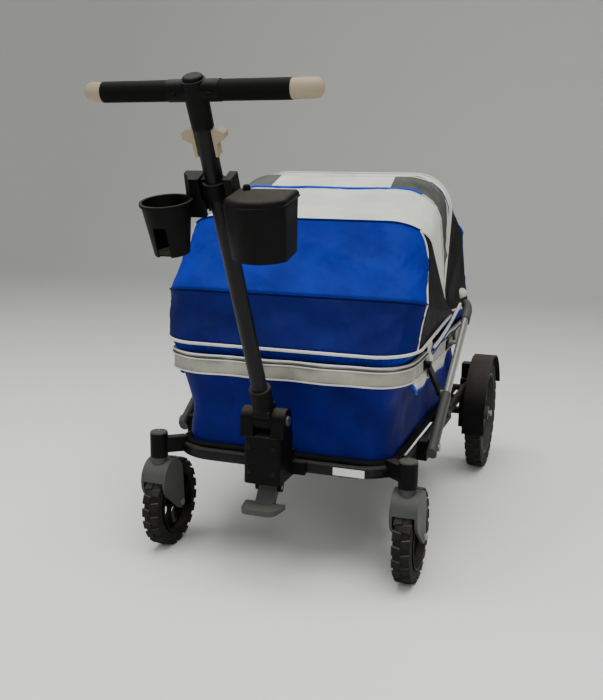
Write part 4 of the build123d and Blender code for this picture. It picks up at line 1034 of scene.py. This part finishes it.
for side_name, sign in sides:
    pocket = side_cloth("side_pocket_" + side_name, sign, pocket_front, pocket_rear,
                        pocket_shape, light_grey)
    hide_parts("side_pockets")
    declare_cloth(pocket)
    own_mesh(pocket)
    edge_points = []
    for k in range(101):
        out, z, shift = pocket_shape(0.0, k / 100)
        y = pocket_front + (pocket_rear - pocket_front) * k / 100 + shift
        edge_points.append(Vector((sign * out, y, z)))
    binding = tube_along("pocket_binding_" + side_name, edge_points, 0.0026, piping_blue)
    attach(binding, "rim")
    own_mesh(binding)
    strap = side_cloth("side_strap_" + side_name, sign, strap_low[0], strap_high[0],
                       strap_shape, bright_blue, rows=6, columns=60)
    declare_cloth(strap)
    top_edge = []
    for k in range(61):
        out, z, shift = strap_shape(1, k / 60)
        y = strap_low[0] + (strap_high[0] - strap_low[0]) * k / 60
        top_edge.append(Vector((sign * (out + 0.0005), y, z + 0.003)))
    rope = tube_along("strap_edge_" + side_name, top_edge, 0.0036, piping_grey)
    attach(rope, "rim")
    tab = side_cloth("hem_tab_" + side_name, sign, -0.118, -0.076, tab_shape, light_grey,
                     rows=30, columns=14)
    declare_cloth(tab)
    roll_points = [Vector((sign * 0.268, 0.300 + 0.05 * k / 12, 0.541 + 0.004 * sin(k / 3)))
                   for k in range(13)]
    roll = tube_along("rolled_flap_" + side_name, roll_points, 0.011, light_grey, sides=16)
    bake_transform(roll)

# %% [markdown]
# ## Small hard parts
# Screws show where plastic parts meet: on the handle's bracket, on the castor caps and on the
# hub of the cross bar. One head is a short cylinder with a socket sunk in it.


# %% Screws
def take_top_faces(piece):
    """Go into edit mode with only the faces that look up selected."""
    bpy.ops.object.mode_set(mode="EDIT")
    bm = bmesh.from_edit_mesh(piece.data)
    for f in bm.faces:
        f.select = f.normal.z > 0.9


def round_edges(piece, width, segments):
    """Round the piece's sharp edges, smooth it and apply the rounding."""
    rounding = piece.modifiers.new("round", "BEVEL")
    rounding.width, rounding.segments, rounding.limit_method = width, segments, "ANGLE"
    apply_all(piece)
    bpy.ops.object.shade_smooth_by_angle(angle=radians(35))


def screw_head(radius=0.0042, tall=0.0022):
    """A button head that faces +Z, with a socket."""
    start_clean()
    bpy.ops.mesh.primitive_cylinder_add(vertices=24, radius=radius, depth=tall)
    head = bpy.context.object
    take_top_faces(head)
    bpy.ops.mesh.inset(thickness=radius * 0.45, depth=0)
    bpy.ops.mesh.extrude_region_move(TRANSFORM_OT_translate={"value": (0, 0, -tall * 0.6)})
    bpy.ops.object.mode_set(mode="OBJECT")
    round_edges(head, tall * 0.3, 2)
    head.data.materials.append(finish["steel"])
    return head


head = screw_head()
screw_count = 0


def put_screw(at, facing, body, slot_name="frame_paint"):
    """A copy of the head at a place, facing a direction, on a body."""
    global screw_count
    screw_count += 1
    turn_to = Vector(facing).to_track_quat("Z", "Y").to_matrix().to_4x4()
    twin = copy_of(head, Matrix.Translation(at) @ turn_to)
    twin.name = twin.data.name = "screw_%02d" % screw_count
    twin.data.materials[0] = finish[slot_name]
    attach(twin, body)


bracket_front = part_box("handle_bracket")[0].y
castor_cap_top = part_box("castor_caps")[1].z
proud = 0.0006              # how far a head's middle stands off its surface
lean = radians(27.4)
toward_puller = Vector((0, -cos(lean), -sin(lean)))
for x in (-0.027, 0.027):
    for z in (0.247, 0.300):
        put_screw((x, bracket_front - proud, z), (0, -1, 0), "chassis")
for side_name, sign in sides:
    hub_front = Vector((sign * 0.031, -0.7217, 0.9756)) + 0.0183 * toward_puller
    put_screw(hub_front, toward_puller, "handle", "black_plastic")
    put_screw((sign * 0.283, -0.331, castor_cap_top + proud), (0, 0, 1), "chassis", "steel")
bpy.data.objects.remove(head)
print("screws", screw_count)

# %% [markdown]
# The bin's lid has a raised bead round its edge and a small knob near its free corner, to
# lift it by. The bead follows the lid's outline: three straight sides and one bowed front.

# %% Lid bead and knob
tilt = radians(14)
bin_at = Vector((0.090, -0.673, 0.800))


def on_lid(x, y, z):
    """A point on the bin's tilted mouth plane, in metres from its middle."""
    return bin_at + Vector((x, y * cos(tilt) - z * sin(tilt), y * sin(tilt) + z * cos(tilt)))


lid_left, lid_right, lid_back = -0.0515, 0.057, 0.042
lid_wide = lid_right - lid_left
outline = [(lid_left, lid_back), (lid_left, 0.010), (lid_left, -0.025)]
for k in range(1, 12):
    x = lid_left + lid_wide * k / 12
    outline.append((x, -0.0245 - 0.0280 * (1 - ((x - 0.0027) / 0.0543) ** 2)))
outline += [(lid_right, -0.024), (lid_right, 0.010), (lid_right, lid_back)]
for k in range(1, 10):
    outline.append((lid_right - lid_wide * k / 10, lid_back))
bead = tube_along("lid_bead", [on_lid(x, y, 0.0028) for x, y in outline], 0.0017,
                  finish["black_plastic"], sides=10, closed=True)
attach(bead, "bin_lid")
start_clean()
bpy.ops.mesh.primitive_cylinder_add(vertices=28, radius=0.0065, depth=0.006)
knob = bpy.context.object
take_top_faces(knob)
bpy.ops.mesh.extrude_region_move(TRANSFORM_OT_translate={"value": (0, 0, 0.004)})
bpy.ops.transform.resize(value=(0.72, 0.72, 1))
bpy.ops.object.mode_set(mode="OBJECT")
knob.data.transform(Matrix.Translation(on_lid(-0.030, 0.026, 0.0165))
                    @ Matrix.Rotation(tilt, 4, "X"))
round_edges(settle(knob, "lid_knob"), 0.0012, 3)
knob.data.materials.append(finish["black_plastic"])
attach(knob, "bin_lid")

# %% [markdown]
# A thin blank plate lies on the front tube, where such a cart carries its label. It has no
# lettering.

# %% Blank plate
start_clean()
bpy.ops.mesh.primitive_cube_add(size=1)
plate = bpy.context.object
plate.data.transform(Matrix.Translation((0.160, -0.3398, 0.2405))
                     @ Matrix.Diagonal((0.068, 0.0016, 0.0165, 1)))
corner = plate.modifiers.new("round", "BEVEL")
corner.width, corner.segments = 0.0006, 2
apply_all(settle(plate, "blank_plate"))
plate.data.materials.append(hard_finish("plate_white", (214, 214, 210),
                                        (190, 190, 184), 0.4, wear=0.3))
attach(plate, "chassis")
